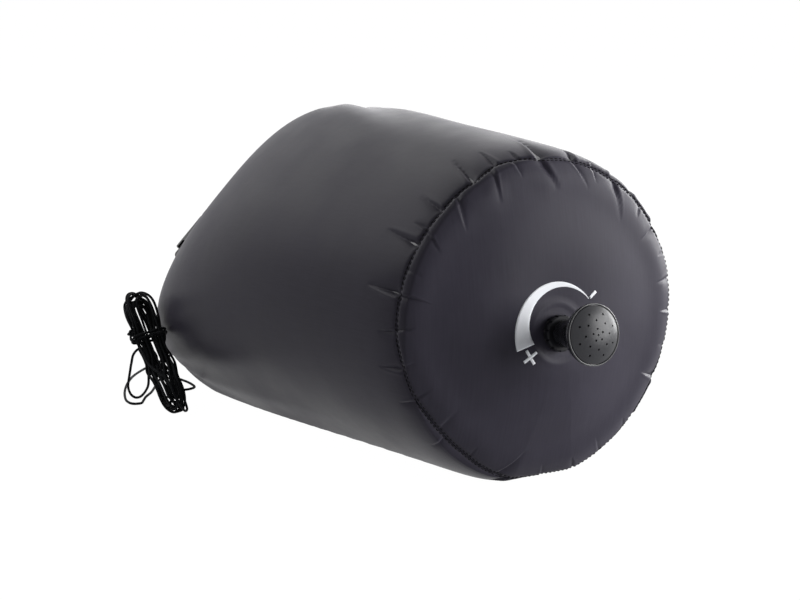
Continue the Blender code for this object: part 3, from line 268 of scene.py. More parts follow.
def pathFrames(path):
    # Tangents and two turning-free normals along a path: each frame is the last, turned with the tangent.
    tangents = unit(np.gradient(path, axis=0))
    first = np.cross(tangents[0], (0.0, 0.0, 1.0))
    if np.linalg.norm(first) < 1e-3:
        first = np.cross(tangents[0], (1.0, 0.0, 0.0))
    sides = [unit(first)]
    for tangent in tangents[1:]:
        sides.append(unit(sides[-1] - tangent * np.dot(sides[-1], tangent)))
    sides = np.array(sides)
    return tangents, sides, np.cross(tangents, sides)


tubeEnd = {"inset": np.array([0.0, 0.35, 0.75]), "radius": np.array([0.45, 0.80, 0.97])}


def tubeMesh(name, path, radius, sides):
    # path + radius * (cos a * side + sin a * other), with rounded ends. UV is (share round, metres).
    tangents, side, other = pathFrames(path)
    inset, small = radius * tubeEnd["inset"], radius * tubeEnd["radius"]
    radii = np.concatenate([small, np.full(len(path) - 2, radius), small[::-1]])
    path = np.concatenate([path[0] + np.outer(inset, tangents[0]), path[1:-1],
                           path[-1] - np.outer(inset[::-1], tangents[-1])])
    side, other = (np.concatenate([v[[0, 0]], v, v[[-1, -1]]])[:, None] for v in (side, other))
    angles = turnAngles(sides)
    points = path[:, None] + radii[:, None, None] * roundWay(angles, side, other)
    uvs = uvGrid(angles / full, lengthsOf(path)[:, None])
    return newMesh(name, points, solidFaces(len(path), sides), uvs)


# Materials

def shaderBase(name, color, roughness, **extra):
    material = bpy.data.materials.new(name)
    material.use_nodes = True
    shader = material.node_tree.nodes["Principled BSDF"]
    shader.inputs["Base Color"].default_value = (*color, 1)
    shader.inputs["Roughness"].default_value = roughness
    for socket, value in extra.items():
        shader.inputs[socket.replace("_", " ")].default_value = value
    return material, material.node_tree, shader


def objectPlace(tree):
    return addNode(tree, "ShaderNodeTexCoord").outputs["Object"]


def sheetPlace(tree):
    # The UV, whole and as its two parts.
    uv = addNode(tree, "ShaderNodeUVMap", uv_map="UVMap").outputs[0]
    split = addNode(tree, "ShaderNodeSeparateXYZ", {0: uv})
    return uv, split.outputs[0], split.outputs[1]


def shade(color, share):
    return tuple(c * share for c in color)


def setTone(tree, shader, factor, dark, light):
    # Sockets 6 and 7 are the colours that are mixed, and 2 is the colour it gives.
    mixed = addNode(tree, "ShaderNodeMix", {0: factor, 6: (*dark, 1), 7: (*light, 1)}, data_type="RGBA")
    tree.links.new(mixed.outputs[2], shader.inputs["Base Color"])


def setShades(tree, shader, factor, color, look):
    setTone(tree, shader, factor, shade(color, look["dark"]), shade(color, look["light"]))


def setRoughness(tree, shader, factor, roughness, look):
    low, high = roughness - look["smooth"], roughness + look["rough"]
    tree.links.new(ramp(tree, factor, low, high, *noiseSpan), shader.inputs["Roughness"])


def addBump(tree, shader, height, strength, distance, under=None):
    bump = addNode(tree, "ShaderNodeBump", {"Strength": strength, "Distance": distance, "Height": height})
    if under is not None:
        tree.links.new(under, bump.inputs["Normal"])
    tree.links.new(bump.outputs[0], shader.inputs["Normal"])
    return bump.outputs[0]


# Noises are (scale, detail, roughness), bumps (strength, distance), and tones the heights of dark and light;
# on the braid and the webbing, dark and light are painted shade between the threads and painted highlight on
# their tops.
noiseSpan = (0.3, 0.7)
fabricLook = {"threads": 1625.0, "cloud": (16.0, 4.0, 0.6), "slub": (1.0, 2.0), "cloudShare": 0.7,
              "slubScale": (900.0, 40.0, 1.0), "specular": 0.09, "smooth": 0.05, "rough": 0.06,
              "crease": (55.0, 3.0, 0.55), "creaseBump": (0.12, 0.0012), "weaveBump": (0.10, 0.00006)}
plasticLook = {"cloud": (60.0, 2.0), "fine": (3.0, 0.6), "dark": 0.85, "light": 1.25, "smooth": 0.04,
               "rough": 0.07, "coatRough": 0.08, "depth": 0.0002}
braidLook = {"strands": 4, "lay": 0.9, "dark": 0.45, "light": 1.9, "tone": (-0.4, 1.0), "roughness": 0.66,
             "specular": 0.06, "bump": (0.6, 0.00022)}
webbingLook = {"ends": 0.0011, "ribs": 0.0008, "ribShare": 0.5, "dark": 0.6, "light": 1.7,
               "tone": (-0.3, 1.3), "roughness": 0.68, "sheen": 0.4, "bump": (0.5, 0.00018)}
inkLook = {"cloud": (90.0, 3.0), "grain": (2600.0, 2.0), "roughness": 0.42, "bump": (0.15, 0.0001)}


def makeFabric(name, dark, light, roughness):
    # Coated plain-weave nylon: crossed threads on the UV in metres, cloudy tone, fine creasing.
    look = fabricLook
    material, tree, shader = shaderBase(name, dark, roughness, Specular_IOR_Level=look["specular"])
    uv, across, along = sheetPlace(tree)
    place = objectPlace(tree)
    warp, weft = (sineOf(tree, part, full * look["threads"]) for part in (across, along))
    cloud = noiseOf(tree, place, *look["cloud"])
    slubPlace = addNode(tree, "ShaderNodeMapping", {"Vector": uv, "Scale": look["slubScale"]}).outputs[0]
    slub = noiseOf(tree, slubPlace, *look["slub"])
    tone = math2(tree, "ADD", math2(tree, "MULTIPLY", cloud, look["cloudShare"]),
                 math2(tree, "MULTIPLY", slub, 1 - look["cloudShare"]))
    setTone(tree, shader, ramp(tree, tone, 0.0, 1.0, *noiseSpan), dark, light)
    setRoughness(tree, shader, cloud, roughness, look)
    soft = addBump(tree, shader, noiseOf(tree, place, *look["crease"]), *look["creaseBump"])
    addBump(tree, shader, math2(tree, "MULTIPLY", warp, weft), *look["weaveBump"], soft)
    return material


def makePlastic(name, color, roughness, grain, strength, coat, specular):
    look = plasticLook
    material, tree, shader = shaderBase(name, color, roughness, Coat_Weight=coat,
                                        Coat_Roughness=look["coatRough"], Specular_IOR_Level=specular)
    place = objectPlace(tree)
    fine = noiseOf(tree, place, grain, *look["fine"])
    setShades(tree, shader, noiseOf(tree, place, *look["cloud"]), color, look)
    setRoughness(tree, shader, fine, roughness, look)
    addBump(tree, shader, fine, strength, look["depth"])
    return material


def makeBraid(name, color, cordDiameter):
    # Braided sheath: two families of strands wound both ways on the UV (share round, metres along), its
    # colour darker between the strands and lighter on their crowns as painted shade and painted highlight.
    look = braidLook
    material, tree, shader = shaderBase(name, color, look["roughness"], Specular_IOR_Level=look["specular"])
    _, across, along = sheetPlace(tree)
    turned = math2(tree, "MULTIPLY", across, full * look["strands"])
    laid = math2(tree, "MULTIPLY", along, full / (cordDiameter * look["lay"]))
    one, two = (math2(tree, "SINE", math2(tree, way, turned, laid)) for way in ("ADD", "SUBTRACT"))
    height = math2(tree, "MAXIMUM", one, two)
    # Painted shade between the strands and painted highlight on their crowns: the colour follows the strands'
    # height.
    setShades(tree, shader, ramp(tree, height, 0.0, 1.0, *look["tone"]), color, look)
    addBump(tree, shader, height, *look["bump"])
    return material


def makeWebbing(name, color):
    # Narrow woven tape: ribs across it and ends along it on the UV in metres, its colour darker between them
    # and lighter on their tops as painted shade and painted highlight.
    look = webbingLook
    material, tree, shader = shaderBase(name, color, look["roughness"], Sheen_Weight=look["sheen"],
                                        Sheen_Roughness=look["sheen"])
    _, across, along = sheetPlace(tree)
    ends = math2(tree, "ABSOLUTE", sineOf(tree, across, full / look["ends"]))
    ribs = math2(tree, "MULTIPLY", sineOf(tree, along, full / look["ribs"]), look["ribShare"])
    height = math2(tree, "ADD", ends, ribs)
    # Painted shade between the ends and ribs and painted highlight on their tops: the colour follows the
    # threads' height.
    setShades(tree, shader, ramp(tree, height, 0.0, 1.0, *look["tone"]), color, look)
    addBump(tree, shader, height, *look["bump"])
    return material


def makeInk(name, dark, light):
    look = inkLook
    material, tree, shader = shaderBase(name, dark, look["roughness"])
    place = objectPlace(tree)
    setTone(tree, shader, noiseOf(tree, place, *look["cloud"]), dark, light)
    addBump(tree, shader, noiseOf(tree, place, *look["grain"]), *look["bump"])
    return material


looks = {"fabric": makeFabric("bagFabric", (0.0295, 0.0272, 0.0385), (0.0425, 0.0392, 0.0545), 0.42),
         "roll": makeFabric("rollFabric", (0.0275, 0.0255, 0.0350), (0.0395, 0.0366, 0.0500), 0.5),
         "webbing": makeWebbing("webbing", (0.016, 0.016, 0.018)),
         "cord": makeBraid("braidedCord", (0.0075, 0.0080, 0.0092), 0.0018),
         "ink": makeInk("dialInk", (0.82, 0.84, 0.89), (0.90, 0.92, 0.95))}
for name, *values in (
        # colour, roughness, grain in 1/m, bump, coat, specular
        ("seamThread", (0.008, 0.008, 0.009), 0.7, 3000.0, 0.3, 0.0, 0.10),
        ("glossyRose", (0.017, 0.0175, 0.021), 0.18, 2500.0, 0.03, 0.2, 0.40),
        ("rosePlate", (0.024, 0.0245, 0.0285), 0.32, 2600.0, 0.12, 0.0, 0.30),
        ("acetalBuckle", (0.014, 0.014, 0.016), 0.34, 2200.0, 0.08, 0.0, 0.30),
        ("valveNylon", (0.012, 0.012, 0.0145), 0.45, 1800.0, 0.10, 0.0, 0.10),
        ("sealRubber", (0.016, 0.016, 0.016), 0.7, 1500.0, 0.2, 0.0, 0.5),
        ("stiffStrip", (0.10, 0.10, 0.11), 0.5, 1200.0, 0.1, 0.0, 0.5),
        ("seamFilm", (0.09, 0.09, 0.10), 0.35, 900.0, 0.1, 0.0, 0.5)):
    looks[name] = makePlastic(name, *values)
print("materials")


# Sizes of the bag and the valve

bagShape = {
    "seamRadius": 0.1012, "swell": 0.0040, "swellRun": 0.0107, "spreadLow": 0.0083, "spreadUp": 0.0092,
    "length": 0.3582, "pinchLow": 0.8458, "pinchUp": 1.1512, "pinchDepth": 0.0018, "press": 0.0066,
    "endDrop": 0.0091, "endSide": 0.0050, "tilt": math.radians(44.7), "dome": 0.0190, "setback": 0.150,
    "shoulderLow": 8.2, "shoulderUp": 14.9, "earRise": 0.0050, "earFrom": 0.62, "pinchPower": 3.43,
    "pinchRoot": 0.41, "endSquare": 2.81, "sweepLow": 0.0050, "sweepUp": 0.0175, "earShape": 9,
    "earPower": 6.9, "domePower": 2.2, "spreadAt": 0.85, "earNarrow": 6}
fabricGauge = {"gap": 0.0003, "cloth": 0.001}
valveShape = {"tilt": math.radians(9), "side": -0.0020, "drop": 0.0041, "flange": 0.0190, "hole": 0.0073,
              "seatMargin": 0.002, "ridge": 0.0006, "ridgeAt": 0.0185, "ridgeHalf": 0.0014}

axisHeight = bagShape["seamRadius"] + bagShape["swell"] - bagShape["press"]
flatDir = np.array([math.cos(bagShape["tilt"]), 0, math.sin(bagShape["tilt"])])
flatNormal = np.array([-math.sin(bagShape["tilt"]), 0, math.cos(bagShape["tilt"])])


# The roll's loop and the buckle's place on it

rollShape = {
    "strip": 0.016, "stripThick": 0.001, "ply": 0.0010, "pitch": 0.00155, "turns": 2.5,
    "growFrom": 0.15, "growTo": 0.85, "bends": 3, "low": 0.056, "up": 0.104, "front": 0.016, "back": 0.049,
    "square": 2.6, "skew": 0.0096, "tilt": math.radians(3.6), "clear": 0.0004, "ease": 0.014,
    "samples": 720}
buckleShape = {"half": 0.026, "standoff": 0.010, "reach": 0.013, "bar": 0.003, "slot": 0.004,
               "webbing": 0.0011, "width": 0.020}
rollBack = np.array([0, math.cos(rollShape["tilt"]), 0]) - math.sin(rollShape["tilt"]) * flatNormal
rollUp = math.cos(rollShape["tilt"]) * flatNormal + np.array([0, math.sin(rollShape["tilt"]), 0])


def loopLine():
    # Two half ovals, back = depth * sin a, with a squarer front, at even spacing and eased.
    r = rollShape
    angle = steps(-pi / 2, 1.5 * pi, 4 * r["samples"])
    c, s = np.cos(angle), np.sin(angle)
    power = np.where(s < 0, 2 / r["square"], 1.0)
    back = np.where(s < 0, r["front"], r["back"]) * np.sign(s) * np.abs(s) ** power
    across = np.where(c < 0, r["low"], r["up"]) * np.sign(c) * np.abs(c) ** power
    across = across + r["skew"] * np.maximum(0, back) / r["back"]
    rough = np.stack([across, back], 1)
    run = lengthsOf(rough)
    even = pickAt(steps(0, run[-1], r["samples"] + 1)[:-1], run, rough)
    window = int(r["ease"] / run[-1] * r["samples"])
    eased = sum(np.roll(even, k, 0) for k in range(-window, window + 1)) / (2 * window + 1)
    return np.concatenate([eased, eased[:1]])


def plyRadius(half, share):
    # Middle of the ply in a half turn: half the strip's thickness, a gap, and the plies under it.
    r = rollShape
    grown = half + r["growFrom"] + (r["growTo"] - r["growFrom"]) * share
    return r["stripThick"] / 2 + fabricGauge["gap"] + r["ply"] / 2 + grown / 2 * r["pitch"]


def rollHalfWidth():
    # How far the outermost ply reaches from the middle of the strip.
    r = rollShape
    last = int(r["turns"] * 2) - 1
    reach = [(plyRadius(half, k / r["bends"]) + r["ply"] / 2) * math.cos(-pi / 2 + pi * k / r["bends"])
             for half in (last - 1, last) for k in range(r["bends"] + 1)]
    return r["strip"] / 2 + max(reach)


loop = loopLine()
loopStep = unit(np.roll(loop[:-1], -1, 0) - np.roll(loop[:-1], 1, 0))
loopStep = np.concatenate([loopStep, loopStep[:1]])
loopTurn = np.unwrap(np.arctan2(-loopStep[:, 0], loopStep[:, 1]))
loopRun = lengthsOf(loop)
rollHalf = rollHalfWidth()
loopApex = loopRun[np.argmax(loop[:, 1])]
rollEnds = (loopApex - loopRun[-1] + buckleShape["half"] + buckleShape["reach"],
            loopApex - buckleShape["half"] - buckleShape["reach"])


def loopPlace(across, back, bearing):
    # Centre and outward normal: the pinched edge + across * flatDir + back * rollBack.
    edge = np.array([-bagShape["endSide"], bagShape["length"] - bagShape["setback"],
                     axisHeight - bagShape["endDrop"]])
    back = rollShape["clear"] + rollHalf - loop[:, 1].min() + back
    away = math.cos(bearing) * flatDir + math.sin(bearing) * rollBack
    return edge + across * flatDir + back * rollBack, away


def loopAt(run):
    return loopPlace(*pickAt(run % loopRun[-1], loopRun, np.column_stack([loop, loopTurn])))


# Hang cord: its hitch on the roll, its way over the floor, its hank and the tie round it

cordShape = {
    "diameter": 0.0018, "pitch": 0.00232, "columns": 3, "layers": 4, "fold": 0.0058, "waist": 0.0012,
    "halfLength": 0.0455, "place": (-0.1184, 0.2908), "floorGap": 0.0004, "heading": math.radians(93.6),
    "lean": math.radians(49.2), "roll": math.radians(21.5), "foldSteps": 7, "runSteps": 5,
    "tieTurns": 2, "tieStart": 0.0110, "tieGap": 0.0006, "tieLead": (0.3, 0.6), "tail": 0.0040,
    "knot": 0.0018, "hitchAt": 0.731, "hitchTurns": 1.75, "hitchPitch": 0.0030, "hitchMargin": 0.0011,
    "fine": 8, "sides": 10, "pointSpace": 0.45}
# How unevenly the hank was made up: each fold longer or shorter, to one side, turned about the long axis.
unevenShape = {"seed": 18, "longer": 0.0050, "aside": 0.0016, "lift": 0.0010, "from": 0.004, "over": 0.020,
               "turnUpper": np.radians((22, 72)), "turnLower": np.radians((38, 80))}
# How the strands settle: spacing, least radius of a bend, and what each round does.
settleShape = {"spacing": 0.00232, "tight": 0.0048, "step": 0.0015, "reach": 0.0030, "rounds": 120,
               "pairsEvery": 6, "skip": 1.6, "push": 0.30, "ease": 0.10, "easeTight": 0.5, "heldEnd": 0.012,
               "bagEvery": 5, "bagNear": 2.0, "bagClear": 1.4}
knotShape = {"size": 0.34, "height": 1.25, "radius": 0.46, "points": 96, "sides": 12, "out": 0.45,
             "lean": (0.3, 0.2, 1.0)}
# The lead's points, from the base seam: it falls to the floor,
leadFall = [(-0.0360, 0.4204, 0.0432), (-0.0380, 0.4226, 0.0360), (-0.0386, 0.4230, 0.0270),
            (-0.0388, 0.4226, 0.0170), (-0.0400, 0.4208, 0.0085), (-0.0432, 0.4165, 0.0026)]
# runs out on the floor in a long loop and a short one,
leadFloor = [(-0.0485, 0.4115), (-0.0580, 0.4045), (-0.0690, 0.3965), (-0.0810, 0.3870), (-0.0975, 0.3710),
             (-0.1140, 0.3480), (-0.1280, 0.3220), (-0.1345, 0.3040), (-0.1338, 0.2966), (-0.1286, 0.2950),
             (-0.1238, 0.3008), (-0.1180, 0.3090), (-0.1078, 0.3203), (-0.0980, 0.3340), (-0.0900, 0.3462),
             (-0.0846, 0.3514), (-0.0780, 0.3516), (-0.0736, 0.3465), (-0.0722, 0.3380), (-0.0726, 0.3260),
             (-0.0752, 0.3166), (-0.0806, 0.3136), (-0.0868, 0.3132), (-0.0945, 0.3082), (-0.1030, 0.3015)]
# rises behind the hank's waist and hangs from it in a loop
leadHang = [(-0.1100, 0.2982, 0.0026), (-0.1137, 0.2967, 0.0070), (-0.1152, 0.2957, 0.0135),
            (-0.1156, 0.2954, 0.0210), (-0.1152, 0.2954, 0.0280), (-0.1152, 0.2958, 0.0328),
            (-0.1166, 0.2982, 0.0362), (-0.1203, 0.3010, 0.0381), (-0.1250, 0.3033, 0.0380),
            (-0.1281, 0.3056, 0.0342), (-0.1288, 0.3083, 0.0270), (-0.1289, 0.3108, 0.0200),
            (-0.1288, 0.3134, 0.0135), (-0.1283, 0.3155, 0.0094), (-0.1275, 0.3161, 0.0058),
            (-0.1265, 0.3149, 0.0028), (-0.1251, 0.3119, 0.0012), (-0.1236, 0.3081, 0.0018),
            (-0.1223, 0.3042, 0.0045), (-0.1218, 0.3000, 0.0085), (-0.1222, 0.2960, 0.0125),
            (-0.1232, 0.2929, 0.0175)]
# before it joins it, in the hank's own axes.
leadJoin = [(-0.0090, 0.0086, -0.0068), (-0.0052, 0.0083, -0.0043)]


def hankAxes():
    # Long axis, width and camera side of the leaning hank.
    h = cordShape
    heading = np.array([math.cos(h["heading"]), math.sin(h["heading"]), 0])
    side = np.array([math.sin(h["heading"]), -math.cos(h["heading"]), 0])
    up = np.array([0, 0, 1.0])
    axis = math.cos(h["lean"]) * heading + math.sin(h["lean"]) * up
    rise = -math.sin(h["lean"]) * heading + math.cos(h["lean"]) * up
    width = math.cos(h["roll"]) * side + math.sin(h["roll"]) * rise
    return axis, width, np.cross(width, axis)


hankHalfRun = cordShape["halfLength"] - cordShape["fold"] - cordShape["columns"] * cordShape["pitch"]


def waistDraw(along):
    return (cordShape["fold"] - cordShape["waist"]) * math.cos(pi * along / 2 / hankHalfRun) ** 2


def hankStation(turn, column):
    # A loop of two runs drawn in at the waist, and two round folds.
    h = cordShape
    offset = column * h["pitch"]
    runShare = h["runSteps"] / (h["foldSteps"] + h["runSteps"]) / 2
    side = 1 if (turn + runShare / 2) % 1 < 0.5 else -1
    phase = (turn + runShare / 2) % 0.5
    if phase < runShare:
        along = hankHalfRun * (2 * phase / runShare - 1)
        slope = (h["fold"] - h["waist"]) * math.sin(pi * along / hankHalfRun) * pi / 2 / hankHalfRun
        lean = math.atan(slope)
        across = h["fold"] - waistDraw(along) + offset * math.cos(lean)
        along = along - offset * math.sin(lean)
    else:
        bend = pi * (phase - runShare) / (0.5 - runShare)
        along = hankHalfRun + (h["fold"] + offset) * math.sin(bend)
        across = (h["fold"] + offset) * math.cos(bend)
    return side * along, side * across


def hankLoops(fine, uneven):
    # Loops that spiral in and out, layer on layer, then the tie; uneven is how far they stray, 0 to 1.
    h, u = cordShape, unevenShape
    chance = np.random.default_rng(u["seed"])
    perTurn = 2 * (h["foldSteps"] + h["runSteps"])
    climb = h["runSteps"] / perTurn / 2
    stray = chance.uniform(-1, 1, (2 * h["columns"] * h["layers"] + 1, 4)) * uneven
    points = []
    for k in range(h["columns"] * h["layers"] * perTurn * fine + 1):
        turn = k / perTurn / fine
        column = abs(h["columns"] - turn % (2 * h["columns"]))
        layer = sum(clipShare(((turn - back * h["columns"]) / climb + 1) / 2)
                    for back in range(1, h["layers"]))
        along, across = hankStation(turn, column)
        share = min(1, max(0, (abs(along) - u["from"]) / u["over"]))
        share = share * share * (3 - 2 * share)
        far, aside, lift, way = stray[min(int(2 * turn), len(stray) - 1)]
        low, high = u["turnUpper"] if along > 0 else u["turnLower"]
        about = math.copysign(low + (high - low) * abs(way), way) * share * uneven
        height = (layer - (h["layers"] - 1) / 2) * h["pitch"] + lift * u["lift"] * share
        across += aside * u["aside"] * share
        points.append((along + math.copysign(far * u["longer"] * share, along),
                       across * math.cos(about) - height * math.sin(about),
                       across * math.sin(about) + height * math.cos(about)))
    return points + tieTurns(points[-1], fine)


def tieTurns(end, fine):
    # The tail leaves the last run sideways and winds round the waist as a rounded rectangle.
    h = cordShape
    reach = h["diameter"] + h["tieGap"]
    height = (h["layers"] - 1) / 2 * h["pitch"]
    core = h["columns"] * h["pitch"] + h["fold"]
    points = []
    for share in h["tieLead"]:
        along = h["tieStart"] * share
        points.append((along, core - waistDraw(along) + reach * share ** 2, end[2]))
    corners = ((1, 1), (-1, 1), (-1, -1), (1, -1))
    corner = 4 * fine
    for k in range(h["tieTurns"] * 4 * (corner + 1) + 1):
        quarter, step = divmod(k % (4 * (corner + 1)), corner + 1)
        along = h["tieStart"] + h["pitch"] * k / (4 * (corner + 1))
        bend = pi / 2 * (quarter + step / corner)
        wide, high = corners[quarter]
        half = core - waistDraw(along)
        points.append((along, wide * half + reach * math.cos(bend), high * height + reach * math.sin(bend)))
    points.append((along, core - waistDraw(along) + reach, height + h["tail"]))
    return points


def fromHank(points, centre):
    axis, width, normal = hankAxes()
    return [centre + a * axis - b * width + c * normal for a, b, c in points]


def hankPlace():
    # The hank's centre, raised until its lowest fold is just clear of the floor.
    h = cordShape
    centre = np.array([h["place"][0], h["place"][1] - bagShape["setback"], 0])
    lowest = min(point[2] for point in fromHank(hankLoops(1, 0.0), centre))
    centre[2] = h["diameter"] / 2 + h["floorGap"] - lowest
    return centre


def hitchTurns():
    # A stadium round the roll's section: over its outer half, round the inner side and underneath.
    h = cordShape
    flat = rollShape["strip"] / 2
    bend = rollHalf - flat + fabricGauge["gap"] + h["diameter"] / 2 + h["hitchMargin"]
    quarter = pi / 2 * bend
    around = 4 * flat + 4 * quarter
    start, stop = flat / 2, h["hitchTurns"] * around - flat / 2
    points = []
    for run in np.arange(start, stop, h["diameter"] / 2):
        side = 1 if run % around < around / 2 else -1
        at = run % (around / 2)
        if at < 2 * flat:
            out, up = flat - at, bend
        else:
            turn = (at - 2 * flat) / bend
            out, up = -flat - bend * math.sin(turn), bend * math.cos(turn)
        lift = max(0, 1 - (run - start) / (2 * flat)) * (h["knot"] - h["diameter"] / 2)
        spot, away = loopAt(rollEnds[0] * h["hitchAt"] - h["hitchPitch"] * run / around)
        points.append(spot + side * out * away + (side * up + lift) * rollUp)
    return points


def smoothLine(points, dense=12):
    # Centripetal Catmull-Rom curve: each point is a blend of the straight lines through four neighbours.
    line = np.array(points)
    line = np.concatenate([2 * line[:1] - line[1:2], line, 2 * line[-1:] - line[-2:-1]])
    knots = np.concatenate([[0], np.cumsum(np.linalg.norm(np.diff(line, axis=0), axis=1) ** 0.5)])
    curve = []
    for k in range(1, len(line) - 2):
        t0, t1, t2, t3 = knots[k - 1:k + 3]
        t = steps(t1, t2, dense + 1)[:-1, None]
        a = line[k - 1] + (line[k] - line[k - 1]) * (t - t0) / (t1 - t0)
        b = line[k] + (line[k + 1] - line[k]) * (t - t1) / (t2 - t1)
        c = line[k + 1] + (line[k + 2] - line[k + 1]) * (t - t2) / (t3 - t2)
        d = a + (b - a) * (t - t0) / (t2 - t0)
        e = b + (c - b) * (t - t1) / (t3 - t1)
        curve.append(d + (e - d) * (t - t1) / (t2 - t1))
    return np.concatenate(curve + [line[-2:-1]])


def closePairs(path, reach, skip):
    # Pairs of points nearer than reach that aren't neighbours along the cord.
    first, second = [], []
    for start in range(0, len(path), 256):
        gap = np.linalg.norm(path[start:start + 256, None] - path[None], axis=2)
        row, column = np.nonzero(gap < reach)
        keep = column - (row + start) > skip
        first.append(row[keep] + start)
        second.append(column[keep])
    return np.concatenate(first), np.concatenate(second)


def settleCord(path, loose, rest):
    # Strands push apart, links keep their length, bends ease, and the floor and the bag hold them off.
    s, radius = settleShape, cordShape["diameter"] / 2
    bag = meshTree(nodes["body_panel"])
    skip = int(s["spacing"] / rest * s["skip"]) + 2
    for turn in range(s["rounds"]):
        if turn % s["pairsEvery"] == 0:
            first, second = closePairs(path, s["reach"], skip)
        way = path[second] - path[first]
        gap = np.linalg.norm(way, axis=1)
        push = np.maximum(0, s["spacing"] - gap) / np.maximum(gap, 1e-6) * s["push"]
        way = way * push[:, None]
        for k in range(3):
            ahead, behind = (np.bincount(ends, way[:, k], len(path)) for ends in (second, first))
            path[:, k] += loose * (ahead - behind)
        sag = (path[2:] + path[:-2]) / 2 - path[1:-1]
        size = np.linalg.norm(sag, axis=1, keepdims=True)
        excess = np.maximum(0, size - rest ** 2 / 2 / s["tight"]) / np.maximum(size, 1e-9)
        path[1:-1] += loose[1:-1, None] * sag * (s["ease"] + s["easeTight"] * excess)
        for even in (0, 1):
            count = (len(path) - even) // 2
            a, b = path[even::2][:count], path[even + 1::2][:count]
            link = b - a
            fix = link * (1 - rest / np.linalg.norm(link, axis=1, keepdims=True)) / 2
            a += fix * loose[even::2][:count, None]
            b -= fix * loose[even + 1::2][:count, None]
        path[:, 2] = np.maximum(path[:, 2], radius)
        if turn % s["bagEvery"] == 0:
            for k in np.nonzero(loose > 0)[0]:
                spot, normal, _, away = bag.find_nearest(Vector(path[k]), radius * s["bagNear"])
                if spot is not None and away < radius * s["bagClear"]:
                    path[k] = np.array(spot) + np.array(normal) * radius * s["bagClear"]
    return path


def leastGap(path, diameter):
    # Least gap between stretches of cord more than three diameters apart along it.
    even = spaced(path, diameter / 2)
    first, second = closePairs(even, 2.5 * diameter, 6)
    return np.linalg.norm(even[first] - even[second], axis=1).min() - diameter


def makeCordPath():
    # The whole cord from its knot on the roll to its knot past the tie.
    h, held = cordShape, settleShape["heldEnd"]
    centre = hankPlace()
    hitch = np.array(hitchTurns())
    back = np.array([0, bagShape["setback"], 0])
    floor = [(x, y, h["diameter"] / 2) for x, y in leadFloor]
    hank = np.array(fromHank(hankLoops(h["fine"], 1.0), centre))
    route = [hitch[-1], hitch[-1] + unit(hitch[-1] - hitch[-2]) * h["diameter"]]
    route += [np.array(point) - back for point in (*leadFall, *floor, *leadHang)]
    route += fromHank(leadJoin, centre)
    route += [hank[0] + unit(hank[0] - hank[1]) * h["diameter"], hank[0]]
    lead = smoothLine(route)
    lead[:, 2] = np.maximum(lead[:, 2], h["diameter"] / 2)
    path = np.concatenate([hitch[:-1], lead[:-1], hank])
    free = lengthsOf(path)[len(hitch) + len(lead) - 2] - held
    path = spaced(path, settleShape["step"])
    loose = clipShare((lengthsOf(path) - free) / held)
    rest = lengthsOf(path)[-1] / (len(path) - 1)
    return spaced(smoothLine(settleCord(path, loose, rest)), h["diameter"] * h["pointSpace"])


def knotMesh(name, end, before):
    # An overhand knot drawn tight: a trefoil, sin t + 2 sin 2t, cos t - 2 cos 2t, -sin 3t.
    k = knotShape
    t = turnAngles(k["points"])
    curve = np.stack([np.sin(t) + 2 * np.sin(2 * t), np.cos(t) - 2 * np.cos(2 * t),
                      -k["height"] * np.sin(3 * t)], 1)
    along = unit(end - before)
    side = unit(np.cross(along, k["lean"]))
    axes = np.stack([side, np.cross(along, side), along])
    path = end + along * cordShape["knot"] * k["out"] + cordShape["knot"] * k["size"] * curve @ axes
    return tubeMesh(name, path, cordShape["diameter"] * k["radius"], k["sides"])


def makeCord():
    h = cordShape
    path = makeCordPath()
    cord = tubeMesh("hangCord", path, h["diameter"] / 2, h["sides"])
    finishPiece(cord, looks["cord"], "bag", "cordage", "cord_hank", "cord_hitch", "cord_lead")
    knots = [finishPiece(knotMesh(name, end, before), looks["cord"], "bag", "cordage", node)
             for name, node, end, before in (("rollKnot", "cord_knot_roll", path[0], path[2]),
                                             ("tailKnot", "cord_knot_tail", path[-1], path[-3]))]
    length = float(lengthsOf(path)[-1])
    print("cord: %.2f m, least gap to itself %.2f mm, %d points"
          % (length, leastGap(path, h["diameter"]) * 1000, len(path)))


makeCord()


# The bag's own surface

acrossWay = np.array([1.0, 0, 0])
valveAxis = np.array([0, -math.cos(valveShape["tilt"]), math.sin(valveShape["tilt"])])
valveUp = np.array([0, math.sin(valveShape["tilt"]), math.cos(valveShape["tilt"])])
valvePlace = np.array([valveShape["side"],
                       -fabricGauge["gap"] - fabricGauge["cloth"] - bagShape["dome"] - bagShape["setback"],
                       axisHeight - valveShape["drop"]])


